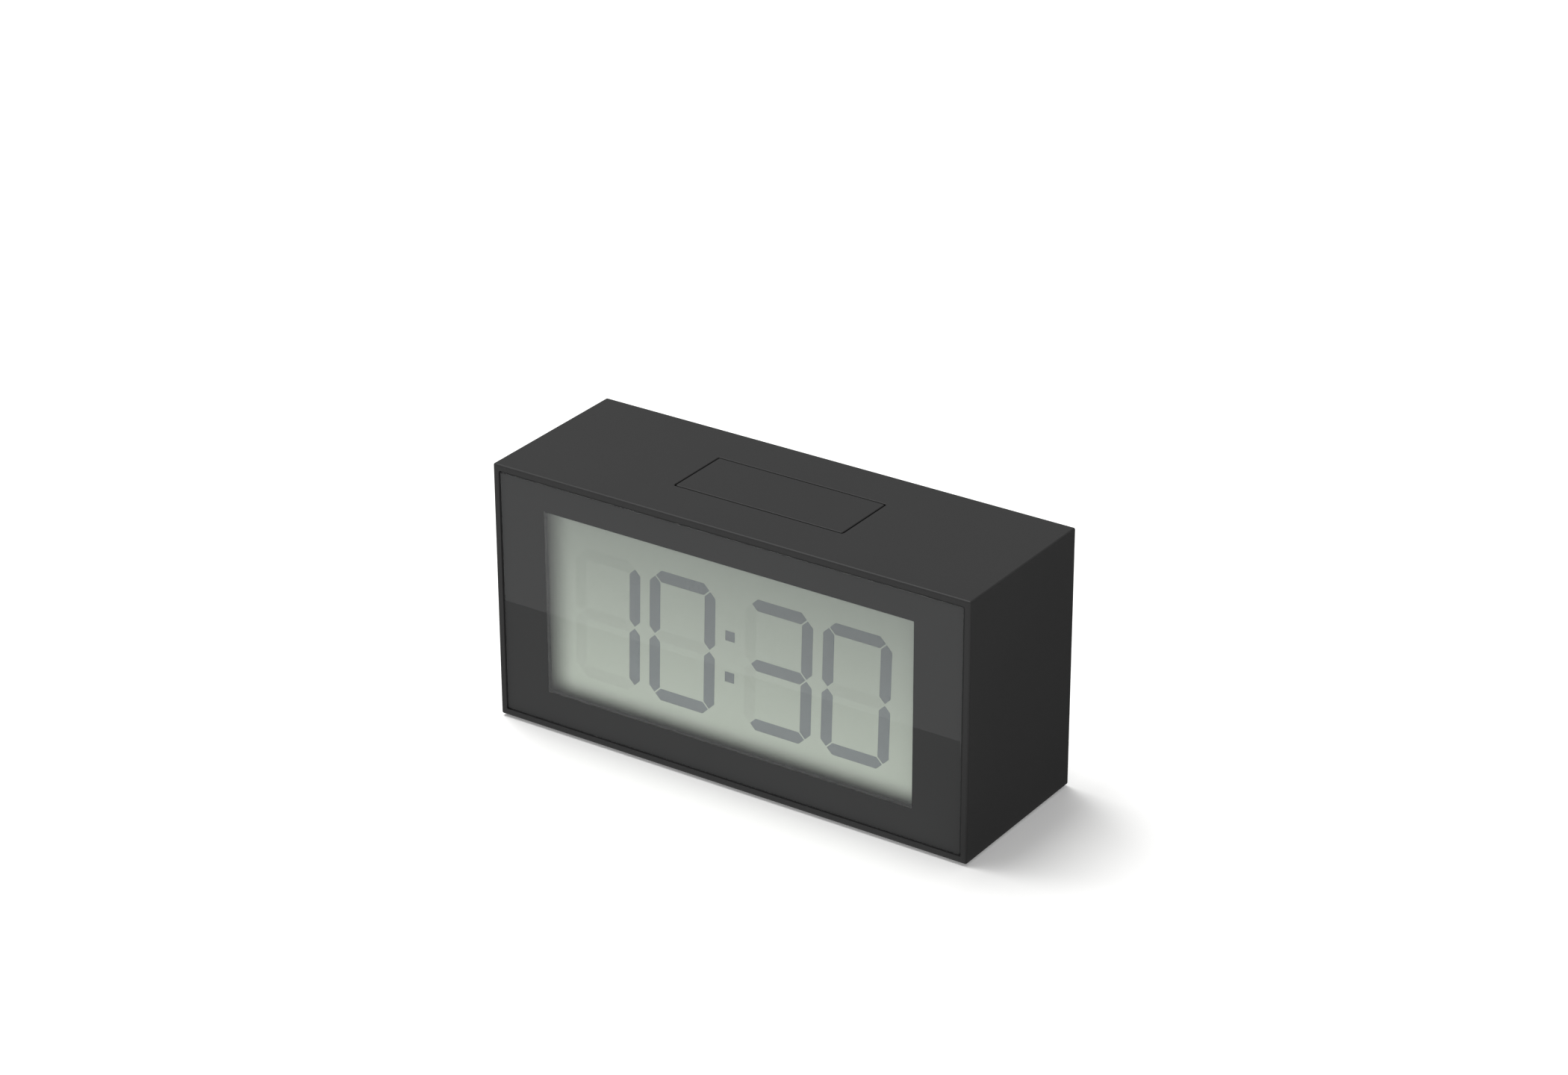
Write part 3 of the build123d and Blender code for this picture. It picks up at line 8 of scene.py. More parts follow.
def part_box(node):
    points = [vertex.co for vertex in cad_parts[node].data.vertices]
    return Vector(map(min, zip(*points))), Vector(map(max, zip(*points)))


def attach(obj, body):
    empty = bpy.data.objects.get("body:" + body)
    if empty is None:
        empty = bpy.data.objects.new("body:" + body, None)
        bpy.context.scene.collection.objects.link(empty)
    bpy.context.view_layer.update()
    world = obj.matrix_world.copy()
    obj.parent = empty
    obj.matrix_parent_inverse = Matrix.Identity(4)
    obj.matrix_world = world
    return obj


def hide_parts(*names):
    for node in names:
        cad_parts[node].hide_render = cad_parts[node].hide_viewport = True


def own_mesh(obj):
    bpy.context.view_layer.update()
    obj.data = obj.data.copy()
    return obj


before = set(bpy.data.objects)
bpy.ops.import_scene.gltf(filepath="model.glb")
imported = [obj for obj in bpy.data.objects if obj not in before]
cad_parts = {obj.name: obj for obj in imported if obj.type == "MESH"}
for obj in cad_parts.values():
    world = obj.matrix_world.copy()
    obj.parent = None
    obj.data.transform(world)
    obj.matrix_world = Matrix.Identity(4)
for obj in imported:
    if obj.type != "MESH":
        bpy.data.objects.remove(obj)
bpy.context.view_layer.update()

# A desk alarm clock: a dark moulded block with a wide liquid crystal display behind a flush clear
# front. X runs along the front, Y from the front to the back and Z up. Metres, from real
# millimetres.
MM = 0.001

# Places and sizes, read from the frame
SHELL_LOW, SHELL_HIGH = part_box("case_shell")
LENS_LOW, LENS_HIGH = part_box("front_lens")
MASK_LOW, MASK_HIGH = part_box("lens_mask")
FRONT_Y = SHELL_LOW.y

# The window in the mask and the front wall
WINDOW_WIDTH = 105.0 * MM
WINDOW_HEIGHT = 48.8 * MM
WINDOW_X = -0.4 * MM
WINDOW_Z = (SHELL_LOW.z + SHELL_HIGH.z) / 2 + 0.3 * MM


# Small helpers --------------------------------------------------------------------------------

def linear(hex_colour):
    """The linear colour that a shader takes, from a swatch's sRGB hex colour."""
    channels = [int(hex_colour[i:i + 2], 16) / 255 for i in (1, 3, 5)]
    return [c / 12.92 if c <= 0.04045 else ((c + 0.055) / 1.055) ** 2.4 for c in channels] + [1.0]


def add_node(tree, kind, sockets=None, **properties):
    """Adds a node. A socket is given a number, a colour or another node's output to link."""
    node = tree.nodes.new("ShaderNode" + kind)
    for name, value in properties.items():
        setattr(node, name, value)
    for name, value in (sockets or {}).items():
        if isinstance(value, bpy.types.NodeSocket):
            tree.links.new(value, node.inputs[name])
        else:
            node.inputs[name].default_value = value
    return node


def new_tree(name):
    """An empty material and its node tree."""
    material = bpy.data.materials.new(name)
    material.use_nodes = True
    material.node_tree.nodes.clear()
    return material, material.node_tree


def paint(node, *materials):
    """Gives a CAD node its material."""
    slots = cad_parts[node].data.materials
    slots.clear()
    for material in materials:
        slots.append(material)


# Materials ------------------------------------------------------------------------------------

GRAIN = 0.25 * MM
GRAIN_DEPTH = 0.006 * MM
MOTTLE = 0.06
MOTTLE_SIZE = 30 * MM
WELL_MARGIN = 2 * MM


def moulded_plastic(name, colour, roughness, specular=0.5, painted_well_shade=False):
    """Injection-moulded plastic with a spark-eroded grain: an even satin with soft highlights.
    Colour drifts a little over centimetres, as on any moulding, and gloss varies from grain to
    grain. On a case, the well behind its window is painted nearly black as painted shade, standing
    in for the shade in that recess, so that its walls look dark."""
    material, tree = new_tree(name)
    place = add_node(tree, "TexCoord").outputs["Object"]
    drift = add_node(tree, "TexNoise", {"Vector": place, "Scale": 1 / MOTTLE_SIZE, "Detail": 2.0})
    fine = add_node(tree, "TexNoise", {"Vector": place, "Scale": 1 / GRAIN, "Detail": 3.0,
                                       "Roughness": 0.6})
    base = linear(colour)
    dark = [c * (1 - MOTTLE) for c in base[:3]] + [1.0]
    light = [c * (1 + MOTTLE) for c in base[:3]] + [1.0]
    # A Mix node's colour sockets share their names with its number sockets, so they go by place
    tint = add_node(tree, "Mix", {0: drift.outputs["Fac"], 6: dark, 7: light},
                    data_type="RGBA").outputs[2]
    if painted_well_shade:
        # A box about the well, scaled to run from -1 to 1 on each axis
        middle = Vector((WINDOW_X, 0, WINDOW_Z))
        half = Vector((WINDOW_WIDTH / 2 + WELL_MARGIN, 1, WINDOW_HEIGHT / 2 + WELL_MARGIN))
        unit = add_node(tree, "Mapping", {
            "Vector": place, "Scale": [1 / v for v in half],
            "Location": [-m / v for m, v in zip(middle, half)]})
        size = add_node(tree, "VectorMath", {0: unit.outputs["Vector"]}, operation="ABSOLUTE")
        axes = add_node(tree, "SeparateXYZ", {0: size.outputs["Vector"]})
        reach = add_node(tree, "Math", {0: axes.outputs["X"], 1: axes.outputs["Z"]},
                         operation="MAXIMUM")
        in_painted_shade = add_node(tree, "Math", {0: reach.outputs["Value"], 1: 1.0},
                          operation="LESS_THAN")
        # Painted shade: inside the well the colour is painted nearly black
        tint = add_node(tree, "Mix", {0: in_painted_shade.outputs["Value"], 6: tint,
                                      7: linear("#0a0a0a")}, data_type="RGBA").outputs[2]
    gloss = add_node(tree, "MapRange", {"Value": fine.outputs["Fac"], "From Min": 0.3,
                                        "From Max": 0.7, "To Min": roughness - 0.03,
                                        "To Max": roughness + 0.03})
    bump = add_node(tree, "Bump", {"Height": fine.outputs["Fac"], "Strength": 1.0,
                                   "Distance": GRAIN_DEPTH})
    shader = add_node(tree, "BsdfPrincipled", {
        "Base Color": tint, "Roughness": gloss.outputs["Result"],
        "Specular IOR Level": specular, "Normal": bump.outputs["Normal"]})
    add_node(tree, "OutputMaterial", {"Surface": shader.outputs["BSDF"]})
    return material


def striped(name, ground, stripe, pitch, share, roughness, axis="X"):
    """Stripes across a flat piece: the printed conductors of a ribbon show as dull silver lines,
    and the carbon layers of a contact strip as thin black ones."""
    material, tree = new_tree(name)
    place = add_node(tree, "TexCoord").outputs["Object"]
    # A wave of bands repeats every 2 pi / 20 of its scaled length
    bands = add_node(tree, "TexWave", {"Vector": place, "Scale": math.tau / 20 / pitch},
                     wave_type="BANDS", bands_direction=axis, wave_profile="TRI")
    ramp = add_node(tree, "ValToRGB", {"Fac": bands.outputs["Fac"]})
    ramp.color_ramp.interpolation = "CONSTANT"
    ramp.color_ramp.elements[0].color = linear(ground)
    ramp.color_ramp.elements[1].position = 1 - share
    ramp.color_ramp.elements[1].color = linear(stripe)
    bump = add_node(tree, "Bump", {"Height": bands.outputs["Fac"], "Strength": 0.4,
                                   "Distance": 0.02 * MM})
    shader = add_node(tree, "BsdfPrincipled", {
        "Base Color": ramp.outputs["Color"], "Roughness": roughness,
        "Normal": bump.outputs["Normal"]})
    add_node(tree, "OutputMaterial", {"Surface": shader.outputs["BSDF"]})
    return material


def solder_mask(name):
    """Green solder mask over etched copper: tracks show as lighter lines, between dark clear
    ground, under one glossy coat. Tracks are about 0.5 mm wide, 3 mm apart."""
    material, tree = new_tree(name)
    place = add_node(tree, "TexCoord").outputs["Object"]
    tracks = add_node(tree, "TexVoronoi", {"Vector": place, "Scale": 1 / (3 * MM),
                                           "Randomness": 0.7},
                      feature="DISTANCE_TO_EDGE")
    ramp = add_node(tree, "ValToRGB", {"Fac": tracks.outputs["Distance"]})
    ramp.color_ramp.elements[0].color = linear("#2b8a4a")
    ramp.color_ramp.elements[0].position = 0.08
    ramp.color_ramp.elements[1].color = linear("#0f4a24")
    ramp.color_ramp.elements[1].position = 0.11
    bump = add_node(tree, "Bump", {"Height": tracks.outputs["Distance"], "Strength": 0.3,
                                   "Distance": 0.03 * MM})
    shader = add_node(tree, "BsdfPrincipled", {
        "Base Color": ramp.outputs["Color"], "Roughness": 0.3, "Coat Weight": 0.5,
        "Coat Roughness": 0.12, "Normal": bump.outputs["Normal"]})
    add_node(tree, "OutputMaterial", {"Surface": shader.outputs["BSDF"]})
    return material


def polished_acrylic():
    """Cast acrylic: clear and flat-polished, so it mirrors the table sharply."""
    material, tree = new_tree("polished_acrylic")
    glass = add_node(tree, "BsdfGlass", {"Color": linear("#fdfefe"), "Roughness": 0.0, "IOR": 1.49})
    add_node(tree, "OutputMaterial", {"Surface": glass.outputs["BSDF"]})
    return material


def clear_layer(name, colour):
    """A thin clear layer with no gloss of its own, because the layers touch."""
    material, tree = new_tree(name)
    clear = add_node(tree, "BsdfTransparent", {"Color": linear(colour)})
    add_node(tree, "OutputMaterial", {"Surface": clear.outputs["BSDF"]})
    return material


def black_print():
    """Black ink printed on the back of the lens: dead flat and neutral."""
    material, tree = new_tree("black_print")
    place = add_node(tree, "TexCoord").outputs["Object"]
    dust = add_node(tree, "TexNoise", {"Vector": place, "Scale": 1 / (20 * MM), "Detail": 2.0})
    tone = add_node(tree, "MapRange", {"Value": dust.outputs["Fac"], "To Min": 0.0215,
                                       "To Max": 0.0235})
    shader = add_node(tree, "BsdfPrincipled", {"Base Color": tone.outputs["Result"],
                                               "Roughness": 0.7, "Specular IOR Level": 0.0})
    add_node(tree, "OutputMaterial", {"Surface": shader.outputs["BSDF"]})
    return material


# The shade inside the well's edges: axis, where it is deepest, where it ends, and what is left of
# the light at its deepest
FIELD_SHADES = (("Z", 8.5 * MM, 15.8 * MM, 0.15), ("X", -53.5 * MM, -46.0 * MM, 0.35))


def reflective_film():
    """The liquid crystal field: a grey-green transflective film with a faint grain. Its colour is
    painted shade: lighter towards the bottom and darker towards the top, and darkened further along
    the well's bottom and left edges."""
    material, tree = new_tree("reflective_film")
    place = add_node(tree, "TexCoord").outputs["Object"]
    axes = add_node(tree, "SeparateXYZ", {"Vector": place})
    # Painted shade: the field's colour runs from light at the bottom to darker at the top
    height = add_node(tree, "MapRange", {
        "Value": axes.outputs["Z"], "From Min": WINDOW_Z - WINDOW_HEIGHT / 2,
        "From Max": WINDOW_Z + WINDOW_HEIGHT / 2})
    ramp = add_node(tree, "ValToRGB", {"Fac": height.outputs["Result"]})
    ramp.color_ramp.elements[0].color = linear("#a3a79f")
    ramp.color_ramp.elements[1].color = linear("#777b75")
    colour = ramp.outputs["Color"]
    # Painted shade: the field darkens towards the well's bottom and left edges, where the walls
    # shade it
    for axis, dark, clear, least in FIELD_SHADES:
        shade = add_node(tree, "MapRange", {
            "Value": axes.outputs[axis], "From Min": dark, "From Max": clear, "To Min": least},
            interpolation_type="SMOOTHSTEP")
        colour = add_node(tree, "Mix", {0: 1.0, 6: colour, 7: shade.outputs["Result"]},
                          data_type="RGBA", blend_type="MULTIPLY").outputs[2]
    grain = add_node(tree, "TexNoise", {"Vector": place, "Scale": 1 / (0.12 * MM), "Detail": 2.0})
    bump = add_node(tree, "Bump", {"Height": grain.outputs["Fac"], "Strength": 0.4,
                                   "Distance": 0.004 * MM})
    shader = add_node(tree, "BsdfPrincipled", {
        "Base Color": colour, "Roughness": 0.55, "Specular IOR Level": 0.2,
        "Normal": bump.outputs["Normal"]})
    add_node(tree, "OutputMaterial", {"Surface": shader.outputs["BSDF"]})
    return material


def rubber(name, colour):
    """Rubber, or a lead's soft insulation: matt, with a dusty sheen."""
    material, tree = new_tree(name)
    place = add_node(tree, "TexCoord").outputs["Object"]
    fine = add_node(tree, "TexNoise", {"Vector": place, "Scale": 1 / (0.3 * MM), "Detail": 2.0})
    bump = add_node(tree, "Bump", {"Height": fine.outputs["Fac"], "Strength": 0.5,
                                   "Distance": 0.01 * MM})
    shader = add_node(tree, "BsdfPrincipled", {
        "Base Color": linear(colour), "Roughness": 0.75, "Specular IOR Level": 0.35,
        "Sheen Weight": 0.15, "Sheen Roughness": 0.5, "Normal": bump.outputs["Normal"]})
    add_node(tree, "OutputMaterial", {"Surface": shader.outputs["BSDF"]})
    return material


def plain_metal(name, colour, roughness, scratch=0.4 * MM):
    """Drawn or plated metal: bright, with fine drawing lines that break up its highlights."""
    material, tree = new_tree(name)
    place = add_node(tree, "TexCoord").outputs["Object"]
    lines = add_node(tree, "TexNoise", {"Vector": place, "Scale": 1 / scratch, "Detail": 4.0,
                                        "Distortion": 0.5})
    gloss = add_node(tree, "MapRange", {"Value": lines.outputs["Fac"], "From Min": 0.3,
                                        "From Max": 0.7, "To Min": roughness - 0.08,
                                        "To Max": roughness + 0.1})
    bump = add_node(tree, "Bump", {"Height": lines.outputs["Fac"], "Strength": 0.3,
                                   "Distance": 0.01 * MM})
    shader = add_node(tree, "BsdfPrincipled", {
        "Base Color": linear(colour), "Metallic": 1.0, "Roughness": gloss.outputs["Result"],
        "Normal": bump.outputs["Normal"]})
    add_node(tree, "OutputMaterial", {"Surface": shader.outputs["BSDF"]})
    return material


def emitting(name, colour, strength):
    """A surface that only glows. Rays find it by themselves, because it isn't sampled as a lamp."""
    material, tree = new_tree(name)
    glow = add_node(tree, "Emission", {"Color": linear(colour), "Strength": strength})
    add_node(tree, "OutputMaterial", {"Surface": glow.outputs["Emission"]})
    material.cycles.emission_sampling = "NONE"
    return material


# Pieces ---------------------------------------------------------------------------------------

def finish_piece(name, mesh, material, body, slot, *nodes):
    """Turns a bmesh into a piece that rides on a body and stands for CAD nodes.

    Slot is not used.
    """
    data = bpy.data.meshes.new(name)
    mesh.to_mesh(data)
    mesh.free()
    data.materials.append(material)
    piece = bpy.data.objects.new(name, data)
    bpy.context.scene.collection.objects.link(piece)
    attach(piece, body)
    if nodes:
        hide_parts(*nodes)
    return piece


def thicken(mesh, front, back):
    """Makes flat faces in the XZ plane a closed sheet that runs from front to back."""
    mesh.normal_update()
    bmesh.ops.solidify(mesh, geom=mesh.faces[:], thickness=back - front)
    lowest = min(vert.co.y for vert in mesh.verts)
    bmesh.ops.translate(mesh, verts=mesh.verts, vec=(0, front - lowest, 0))
    bmesh.ops.recalc_face_normals(mesh, faces=mesh.faces)


def make_mask_print(material):
    """The printed border, whose ink is in contact with the back of the lens."""
    contact = 0.01 * MM
    # A square and a smaller one inside it, whose corners then move to the real outlines
    half, inset = 0.5, 0.1
    mesh = bmesh.new()
    bmesh.ops.create_grid(mesh, x_segments=1, y_segments=1, size=half)
    bmesh.ops.inset_individual(mesh, faces=mesh.faces[:], thickness=inset)
    inner = [v for v in mesh.verts if abs(v.co.x) < half - inset / 2]
    outer = [v for v in mesh.verts if abs(v.co.x) >= half - inset / 2]
    for vert in outer:
        vert.co = Vector((math.copysign((LENS_HIGH.x - LENS_LOW.x) / 2, vert.co.x), 0,
                          math.copysign((LENS_HIGH.z - LENS_LOW.z) / 2, vert.co.y)
                          + (LENS_HIGH.z + LENS_LOW.z) / 2))
    for vert in inner:
        vert.co = Vector((math.copysign(WINDOW_WIDTH / 2, vert.co.x) + WINDOW_X, 0,
                          math.copysign(WINDOW_HEIGHT / 2, vert.co.y) + WINDOW_Z))
    middle = min(mesh.faces, key=lambda face: (face.calc_center_median() - Vector(
        (WINDOW_X, 0, WINDOW_Z))).length)
    bmesh.ops.delete(mesh, geom=[middle], context="FACES")
    thicken(mesh, MASK_LOW.y - contact, MASK_HIGH.y)
    return finish_piece("mask_print", mesh, material, "case", "mask_black", "lens_mask")


def round_off(mesh, sharp=math.radians(35)):
    """Smooth shading, except across edges sharper than this."""
    for face in mesh.faces:
        face.smooth = True
    for edge in mesh.edges:
        edge.smooth = len(edge.link_faces) == 2 and edge.calc_face_angle() < sharp


# A cell's outline in millimetres: distance from the tip of its positive end, and radius. Bare
# steel shows at the cap and at the base, and the sleeve has a coppery band at the positive end.
CELL_OUTLINE = (
    (0.00, 0.0), (0.00, 1.5), (0.12, 1.8), (0.30, 1.9), (1.00, 1.9),
    (1.15, 2.1), (1.15, 4.4), (1.02, 4.5), (1.02, 4.8), (1.12, 5.05),
    (1.35, 5.25), (12.0, 5.25), (43.9, 5.25), (44.3, 5.15), (44.5, 4.9),
    (44.5, 4.6), (44.35, 4.5), (44.35, 2.6), (44.2, 2.3), (44.2, 0.0))
CAP_LENGTH = 1.3
BAND_END = 12.0
BASE_START = 44.0
BARE_RADIUS = 4.45


def make_cells(materials):
    """Two AAA cells, end to end the other way round: a stepped steel cap, a printed sleeve with a
    rolled lip at each end, and a dished steel base."""
    low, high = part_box("battery_cells")
    depth = (low.y + high.y) / 2
    radius = max(row[1] for row in CELL_OUTLINE) * MM
    joined = bmesh.new()
    for tip, way, height in ((high.x, -1, high.z - radius), (low.x, 1, low.z + radius)):
        mesh = bmesh.new()
        points = [mesh.verts.new((tip + way * along * MM, depth, height + out * MM))
                  for along, out in CELL_OUTLINE]
        for pair in zip(points, points[1:]):
            mesh.edges.new(pair)
        bmesh.ops.spin(mesh, geom=mesh.verts[:] + mesh.edges[:], cent=(0, depth, height),
                       axis=(1, 0, 0), angle=math.tau, steps=64, use_merge=True)
        bmesh.ops.remove_doubles(mesh, verts=mesh.verts, dist=0.001 * MM)
        bmesh.ops.recalc_face_normals(mesh, faces=mesh.faces)
        for face in mesh.faces:
            centre = face.calc_center_median()
            along = (centre.x - tip) * way / MM
            out = math.hypot(centre.y - depth, centre.z - height) / MM
            bare = out < BARE_RADIUS and (along < CAP_LENGTH or along > BASE_START)
            face.material_index = 0 if bare else 2 if along < BAND_END else 1
        round_off(mesh)
        part = bpy.data.meshes.new("one_cell")
        mesh.to_mesh(part)
        mesh.free()
        joined.from_mesh(part)
        bpy.data.meshes.remove(part)
    piece = finish_piece("cell_pair", joined, materials[0], "case", "cell_sleeve",
                         "battery_cells")
    for material in materials[1:]:
        piece.data.materials.append(material)


def make_sprung_coils(material):
    """The snooze key's two coil springs, as a piece with a mesh of its own."""
    mesh = bmesh.new()
    mesh.from_mesh(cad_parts["snooze_springs"].data)
    bmesh.ops.remove_doubles(mesh, verts=mesh.verts, dist=0.001 * MM)
    round_off(mesh)
    piece = finish_piece("snooze_coils", mesh, material, "case", "spring_steel",
                         "snooze_springs")
    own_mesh(piece)


# Marks pad-printed on the four keys, in millimetres: across as seen from behind, and up
BAR = ((-1.3, -0.2), (1.3, -0.2), (1.3, 0.2), (-1.3, 0.2))
CROSS = ((-0.2, -1.3), (0.2, -1.3), (0.2, -0.2), (1.3, -0.2), (1.3, 0.2), (0.2, 0.2),
         (0.2, 1.3), (-0.2, 1.3), (-0.2, 0.2), (-1.3, 0.2), (-1.3, -0.2), (-0.2, -0.2))
HANDS = ((-0.15, -0.15), (0.95, -0.15), (0.95, 0.15), (0.15, 0.15), (0.15, 1.25), (-0.15, 1.25))
BELL = ((-1.45, -0.85), (1.45, -0.85), (1.3, -0.5), (1.05, -0.2), (0.95, 0.35), (0.7, 0.85),
        (0.3, 1.1), (0.2, 1.35), (-0.2, 1.35), (-0.3, 1.1), (-0.7, 0.85), (-0.95, 0.35),
        (-1.05, -0.2), (-1.3, -0.5))
CLAPPER = ((-0.4, -1.05), (-0.25, -1.35), (0.25, -1.35), (0.4, -1.05))
RING_RADIUS = 1.85 * MM
RING_WIDTH = 0.25 * MM


def make_key_mark(key, outlines, ring, material):
    """A mark a hair thick on the key's face: a clock, a bell, a minus or a plus."""
    thickness = 0.02 * MM
    low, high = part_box(key)
    centre = (low + high) / 2
    mesh = bmesh.new()
    for outline in outlines:
        mesh.faces.new([mesh.verts.new((-u * MM, 0, v * MM)) for u, v in outline])
    if ring:
        made = bmesh.ops.create_circle(mesh, cap_ends=True, segments=48, radius=RING_RADIUS,
                                       matrix=Matrix.Rotation(-math.pi / 2, 4, "X"))
        disc = made["verts"][0].link_faces[0]
        bmesh.ops.inset_individual(mesh, faces=[disc], thickness=RING_WIDTH)
        bmesh.ops.delete(mesh, geom=[disc], context="FACES_ONLY")
    thicken(mesh, high.y - thickness, high.y + thickness)
    bmesh.ops.translate(mesh, verts=mesh.verts, vec=(centre.x, 0, centre.z))
    finish_piece(key + "_mark", mesh, material, key.replace("key", "button"), None)


# Studio ---------------------------------------------------------------------------------------

CAMERA_PLACE = Vector((510.1, -756.2, 499.3)) * MM
CAMERA_FORWARD = Vector((-0.5025, 0.7467, -0.4359))
CAMERA_ROLL = math.radians(-0.168)
CAMERA_LENS = 97.82
CAMERA_SENSOR = 36.0

# The table's own glow, and the tones of it that gloss and matt sides of the object see, in metres.
# The clear front mirrors a far tone and, nearer than the edge, a darker one.
TABLE_CORNER = 4
TABLE_GLOW = 0.155
MIRROR_EDGE = 51.0 * MM
FAR_GLOSS = 0.76
NEAR_GLOSS = 0.38
BESIDE_GLOSS = 0.22
FAR_BOUNCE = 2.35
BESIDE_BOUNCE = 0.62
EDGE_GLOW = 2.6
SHEET_STEP = 0.02 * MM

KEY_PLACE = (-0.6, 0.05, 1.75)
KEY_AIM = (0, 0, 0.03)
KEY_SIDE = 1.05
KEY_POWER = 30.0
ROOM_GLOW = 0.45


def place_camera():
    """A long lens a metre away, to the right of the front and above it."""
    data = bpy.data.cameras.new("camera")
    data.sensor_width = CAMERA_SENSOR
    data.lens = CAMERA_LENS
    data.clip_start = 10 * MM
    camera = bpy.data.objects.new("camera", data)
    bpy.context.scene.collection.objects.link(camera)
    level = CAMERA_FORWARD.normalized().to_track_quat("-Z", "Y").to_matrix()
    turned = level @ Matrix.Rotation(CAMERA_ROLL, 3, "Z")
    camera.matrix_world = Matrix.Translation(CAMERA_PLACE) @ turned.to_4x4()
    bpy.context.scene.camera = camera


def flat_sheet(name, low, high, height, material):
    """A level rectangle of the studio, from one corner to the other."""
    mesh = bmesh.new()
    bmesh.ops.create_grid(mesh, x_segments=1, y_segments=1, size=0.5)
    bmesh.ops.scale(mesh, verts=mesh.verts, vec=(high[0] - low[0], high[1] - low[1], 1))
    bmesh.ops.translate(mesh, verts=mesh.verts,
                        vec=((low[0] + high[0]) / 2, (low[1] + high[1]) / 2, height))
    data = bpy.data.meshes.new(name)
    mesh.to_mesh(data)
    mesh.free()
    data.materials.append(material)
    sheet = bpy.data.objects.new(name, data)
    bpy.context.scene.collection.objects.link(sheet)
    return sheet


def seen_only_by(sheet, ray):
    """The object's gloss or its matt side sees the sheet, and nothing else does."""
    sheet.visible_camera = False
    sheet.visible_shadow = False
    sheet.visible_transmission = False
    sheet.visible_diffuse = ray == "diffuse"
    sheet.visible_glossy = ray == "glossy"


def make_floor():
    """The white table, the tones of it that the object sees, and a sheet over the front edges."""
    material, tree = new_tree("light_table")
    white = add_node(tree, "BsdfDiffuse", {"Color": linear("#fcfcfb"), "Roughness": 0.0})
    glow = add_node(tree, "Emission", {"Color": linear("#ffffff"), "Strength": TABLE_GLOW})
    both = add_node(tree, "AddShader", {0: white.outputs["BSDF"], 1: glow.outputs["Emission"]})
    add_node(tree, "OutputMaterial", {"Surface": both.outputs["Shader"]})
    far, opposite = (-TABLE_CORNER, -TABLE_CORNER), (TABLE_CORNER, TABLE_CORNER)
    floor = flat_sheet("table", far, opposite, 0.0, material)
    floor.visible_glossy = False
    floor.visible_diffuse = False
    floor.visible_shadow = False
    near, beside = SHELL_LOW.x - 300 * MM, SHELL_HIGH.x + 0.5 * MM
    tones = [
        ("gloss_far", "glossy", far, opposite, FAR_GLOSS),
        ("gloss_near", "glossy", (near, FRONT_Y - MIRROR_EDGE), (SHELL_HIGH.x + 0.3, 0.3),
         NEAR_GLOSS),
        ("gloss_beside", "glossy", (beside, -0.02), (beside + 1, 1), BESIDE_GLOSS),
        ("bounce_far", "diffuse", far, opposite, FAR_BOUNCE),
        ("bounce_beside", "diffuse", (beside, -0.05), (beside + 0.3, 0.3), BESIDE_BOUNCE),
    ]
    for level, (name, ray, low, high, strength) in enumerate(tones):
        sheet = flat_sheet(name, low, high, (level - len(tones)) * SHEET_STEP,
                           emitting(name, "#ffffff", strength))
        seen_only_by(sheet, ray)
    # An overhead sheet that the rounded front edges mirror
    edge_light = flat_sheet("edge_light", (-1.2, -1.1), (-0.3, -0.25), 1.12,
                            emitting("edge_light", "#ffffff", EDGE_GLOW))
    seen_only_by(edge_light, "glossy")


def soft_box(name, place, aim, side, power):
    """A square white area lamp at a place, turned to its aim."""
    light = bpy.data.lights.new(name, "AREA")
    light.shape = "RECTANGLE"
    light.size = side
    light.size_y = side
    light.energy = power
    lamp = bpy.data.objects.new(name, light)
    bpy.context.scene.collection.objects.link(lamp)
    direction = (Vector(aim) - Vector(place)).normalized()
    lamp.matrix_world = (Matrix.Translation(Vector(place))
                         @ direction.to_track_quat("-Z", "Y").to_matrix().to_4x4())


def light_studio():
    """One large soft box high on the left, and an even pale room."""
    soft_box("key_light", KEY_PLACE, KEY_AIM, KEY_SIDE, KEY_POWER)
    world = bpy.data.worlds.new("pale_room")
    bpy.context.scene.world = world
    world.use_nodes = True
    tree = world.node_tree
    tree.nodes.clear()
    back = add_node(tree, "Background", {"Color": linear("#ffffff"), "Strength": ROOM_GLOW})
    add_node(tree, "OutputWorld", {"Surface": back.outputs["Background"]})


# Assembly -------------------------------------------------------------------------------------

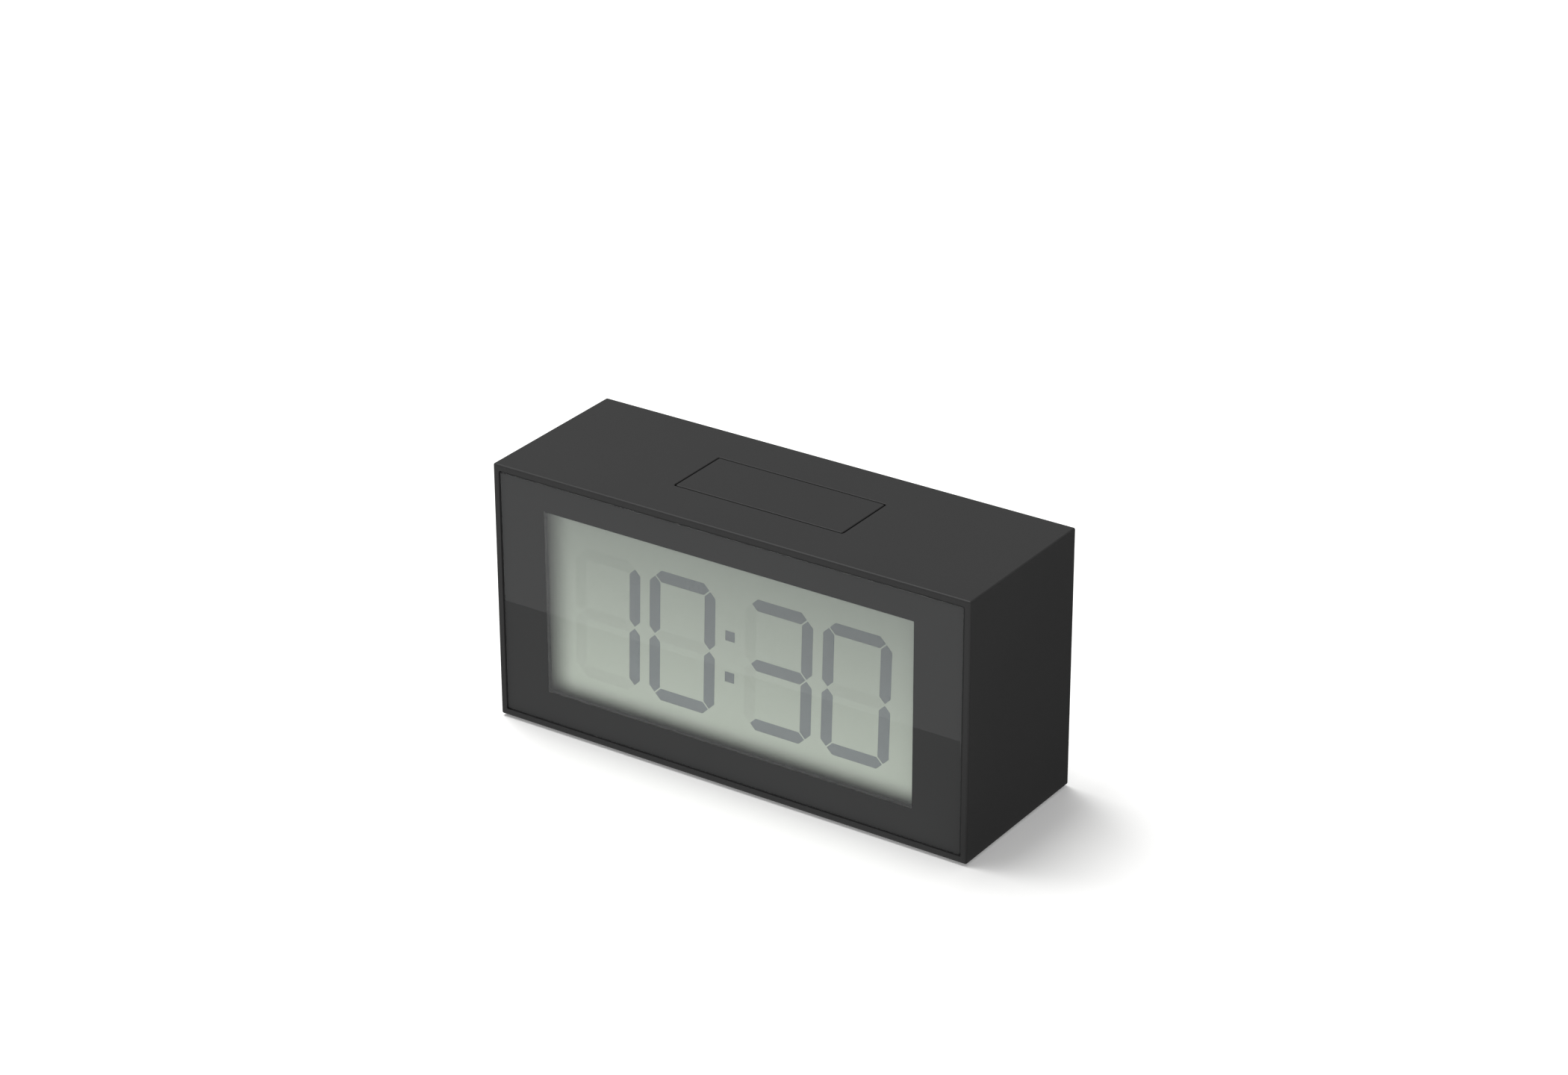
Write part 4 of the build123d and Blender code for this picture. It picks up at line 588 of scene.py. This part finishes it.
def paint_frame():
    """Every CAD node's finish."""
    shell = moulded_plastic("satin_abs_case", "#292929", 0.44, specular=0.17)
    # The shell's material paints shade into the well behind the window
    paint("case_shell", moulded_plastic("satin_abs_shell_painted_well_shade", "#292929", 0.44, specular=0.17,
                                        painted_well_shade=True))
    paint("rear_cover", shell)
    paint("battery_door", shell)
    key = moulded_plastic("satin_abs_key", "#282828", 0.42, specular=0.17)
    for node in ("snooze_button", "time_key", "alarm_key", "minus_key", "plus_key", "alarm_knob"):
        paint(node, key)
    black = moulded_plastic("black_moulding", "#151515", 0.5)
    for node in ("snooze_bridge", "snooze_switch", "key_switches", "alarm_lever", "buzzer_ring"):
        paint(node, black)
    white = moulded_plastic("white_moulding", "#dcdcd8", 0.45)
    for node in ("display_frame", "snooze_plunger", "time_key_plunger", "alarm_key_plunger",
                 "minus_key_plunger", "plus_key_plunger", "backlight_leds"):
        paint(node, white)
    paint("front_lens", polished_acrylic())
    paint("lcd_front_polarizer", clear_layer("polariser", "#f7f9f6"))
    paint("lcd_front_glass", clear_layer("float_glass", "#ffffff"))
    paint("lcd_shown_segments", clear_layer("dark_liquid_crystal", "#d6d6de"))
    paint("lcd_idle_segments", clear_layer("idle_liquid_crystal", "#fdfdfd"))
    field = reflective_film()
    paint("lcd_rear_glass", field)
    paint("lcd_reflector", field)
    paint("light_guide", moulded_plastic("acrylic_guide", "#dfe4e0", 0.2))
    paint("feet", rubber("foot_rubber", "#19191a"))
    paint("contact_strip", striped("striped_silicone", "#b87880", "#1a1a1a", 0.6 * MM, 0.4, 0.6))
    paint("positive_lead", rubber("red_insulation", "#b01818"))
    paint("negative_lead", rubber("black_insulation", "#161616"))
    green = solder_mask("green_solder_mask")
    for node in ("main_board", "key_board", "snooze_board"):
        paint(node, green)
    paint("chip_cap", moulded_plastic("black_epoxy", "#0c0c0c", 0.2))
    paint("board_parts", moulded_plastic("fired_ceramic", "#6b4a30", 0.35))
    ribbon = striped("ribbon_film", "#e2e2dc", "#9a9c9e", 1.0 * MM, 0.45, 0.3)
    paint("snooze_ribbon", ribbon)
    paint("key_ribbon", ribbon)
    steel = plain_metal("zinc_plated_steel", "#7b7c80", 0.35)
    for node in ("snooze_bridge_screws", "snooze_board_screws", "rear_cover_screws",
                 "display_frame_screws", "main_board_screws", "key_board_screws"):
        paint(node, steel)
    nickel = plain_metal("nickel_plate", "#cfcbc2", 0.22)
    paint("battery_contacts", nickel)
    paint("battery_springs", nickel)
    paint("alarm_switch", nickel)
    paint("quartz_crystal", nickel)
    paint("buzzer_disc", plain_metal("brass_disc", "#c9a45c", 0.3))
    # Soft light passes straight through the clear layers, so the display is evenly lit
    for node in ("front_lens", "lcd_front_polarizer", "lcd_front_glass", "lcd_shown_segments",
                 "lcd_idle_segments"):
        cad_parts[node].visible_shadow = False
        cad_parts[node].visible_diffuse = False


bpy.context.scene.view_settings.view_transform = "Standard"
place_camera()
make_floor()
light_studio()
paint_frame()
make_mask_print(black_print())
make_cells((plain_metal("tinned_steel", "#c6c7c9", 0.25),
            moulded_plastic("printed_sleeve", "#1e2126", 0.22),
            plain_metal("coppery_band", "#b9773f", 0.28)))
make_sprung_coils(plain_metal("spring_wire", "#b9babc", 0.25))
mark_ink = moulded_plastic("pale_ink", "#9a9a98", 0.5)
make_key_mark("time_key", (HANDS,), True, mark_ink)
make_key_mark("alarm_key", (BELL, CLAPPER), False, mark_ink)
make_key_mark("minus_key", (BAR,), False, mark_ink)
make_key_mark("plus_key", (CROSS,), False, mark_ink)
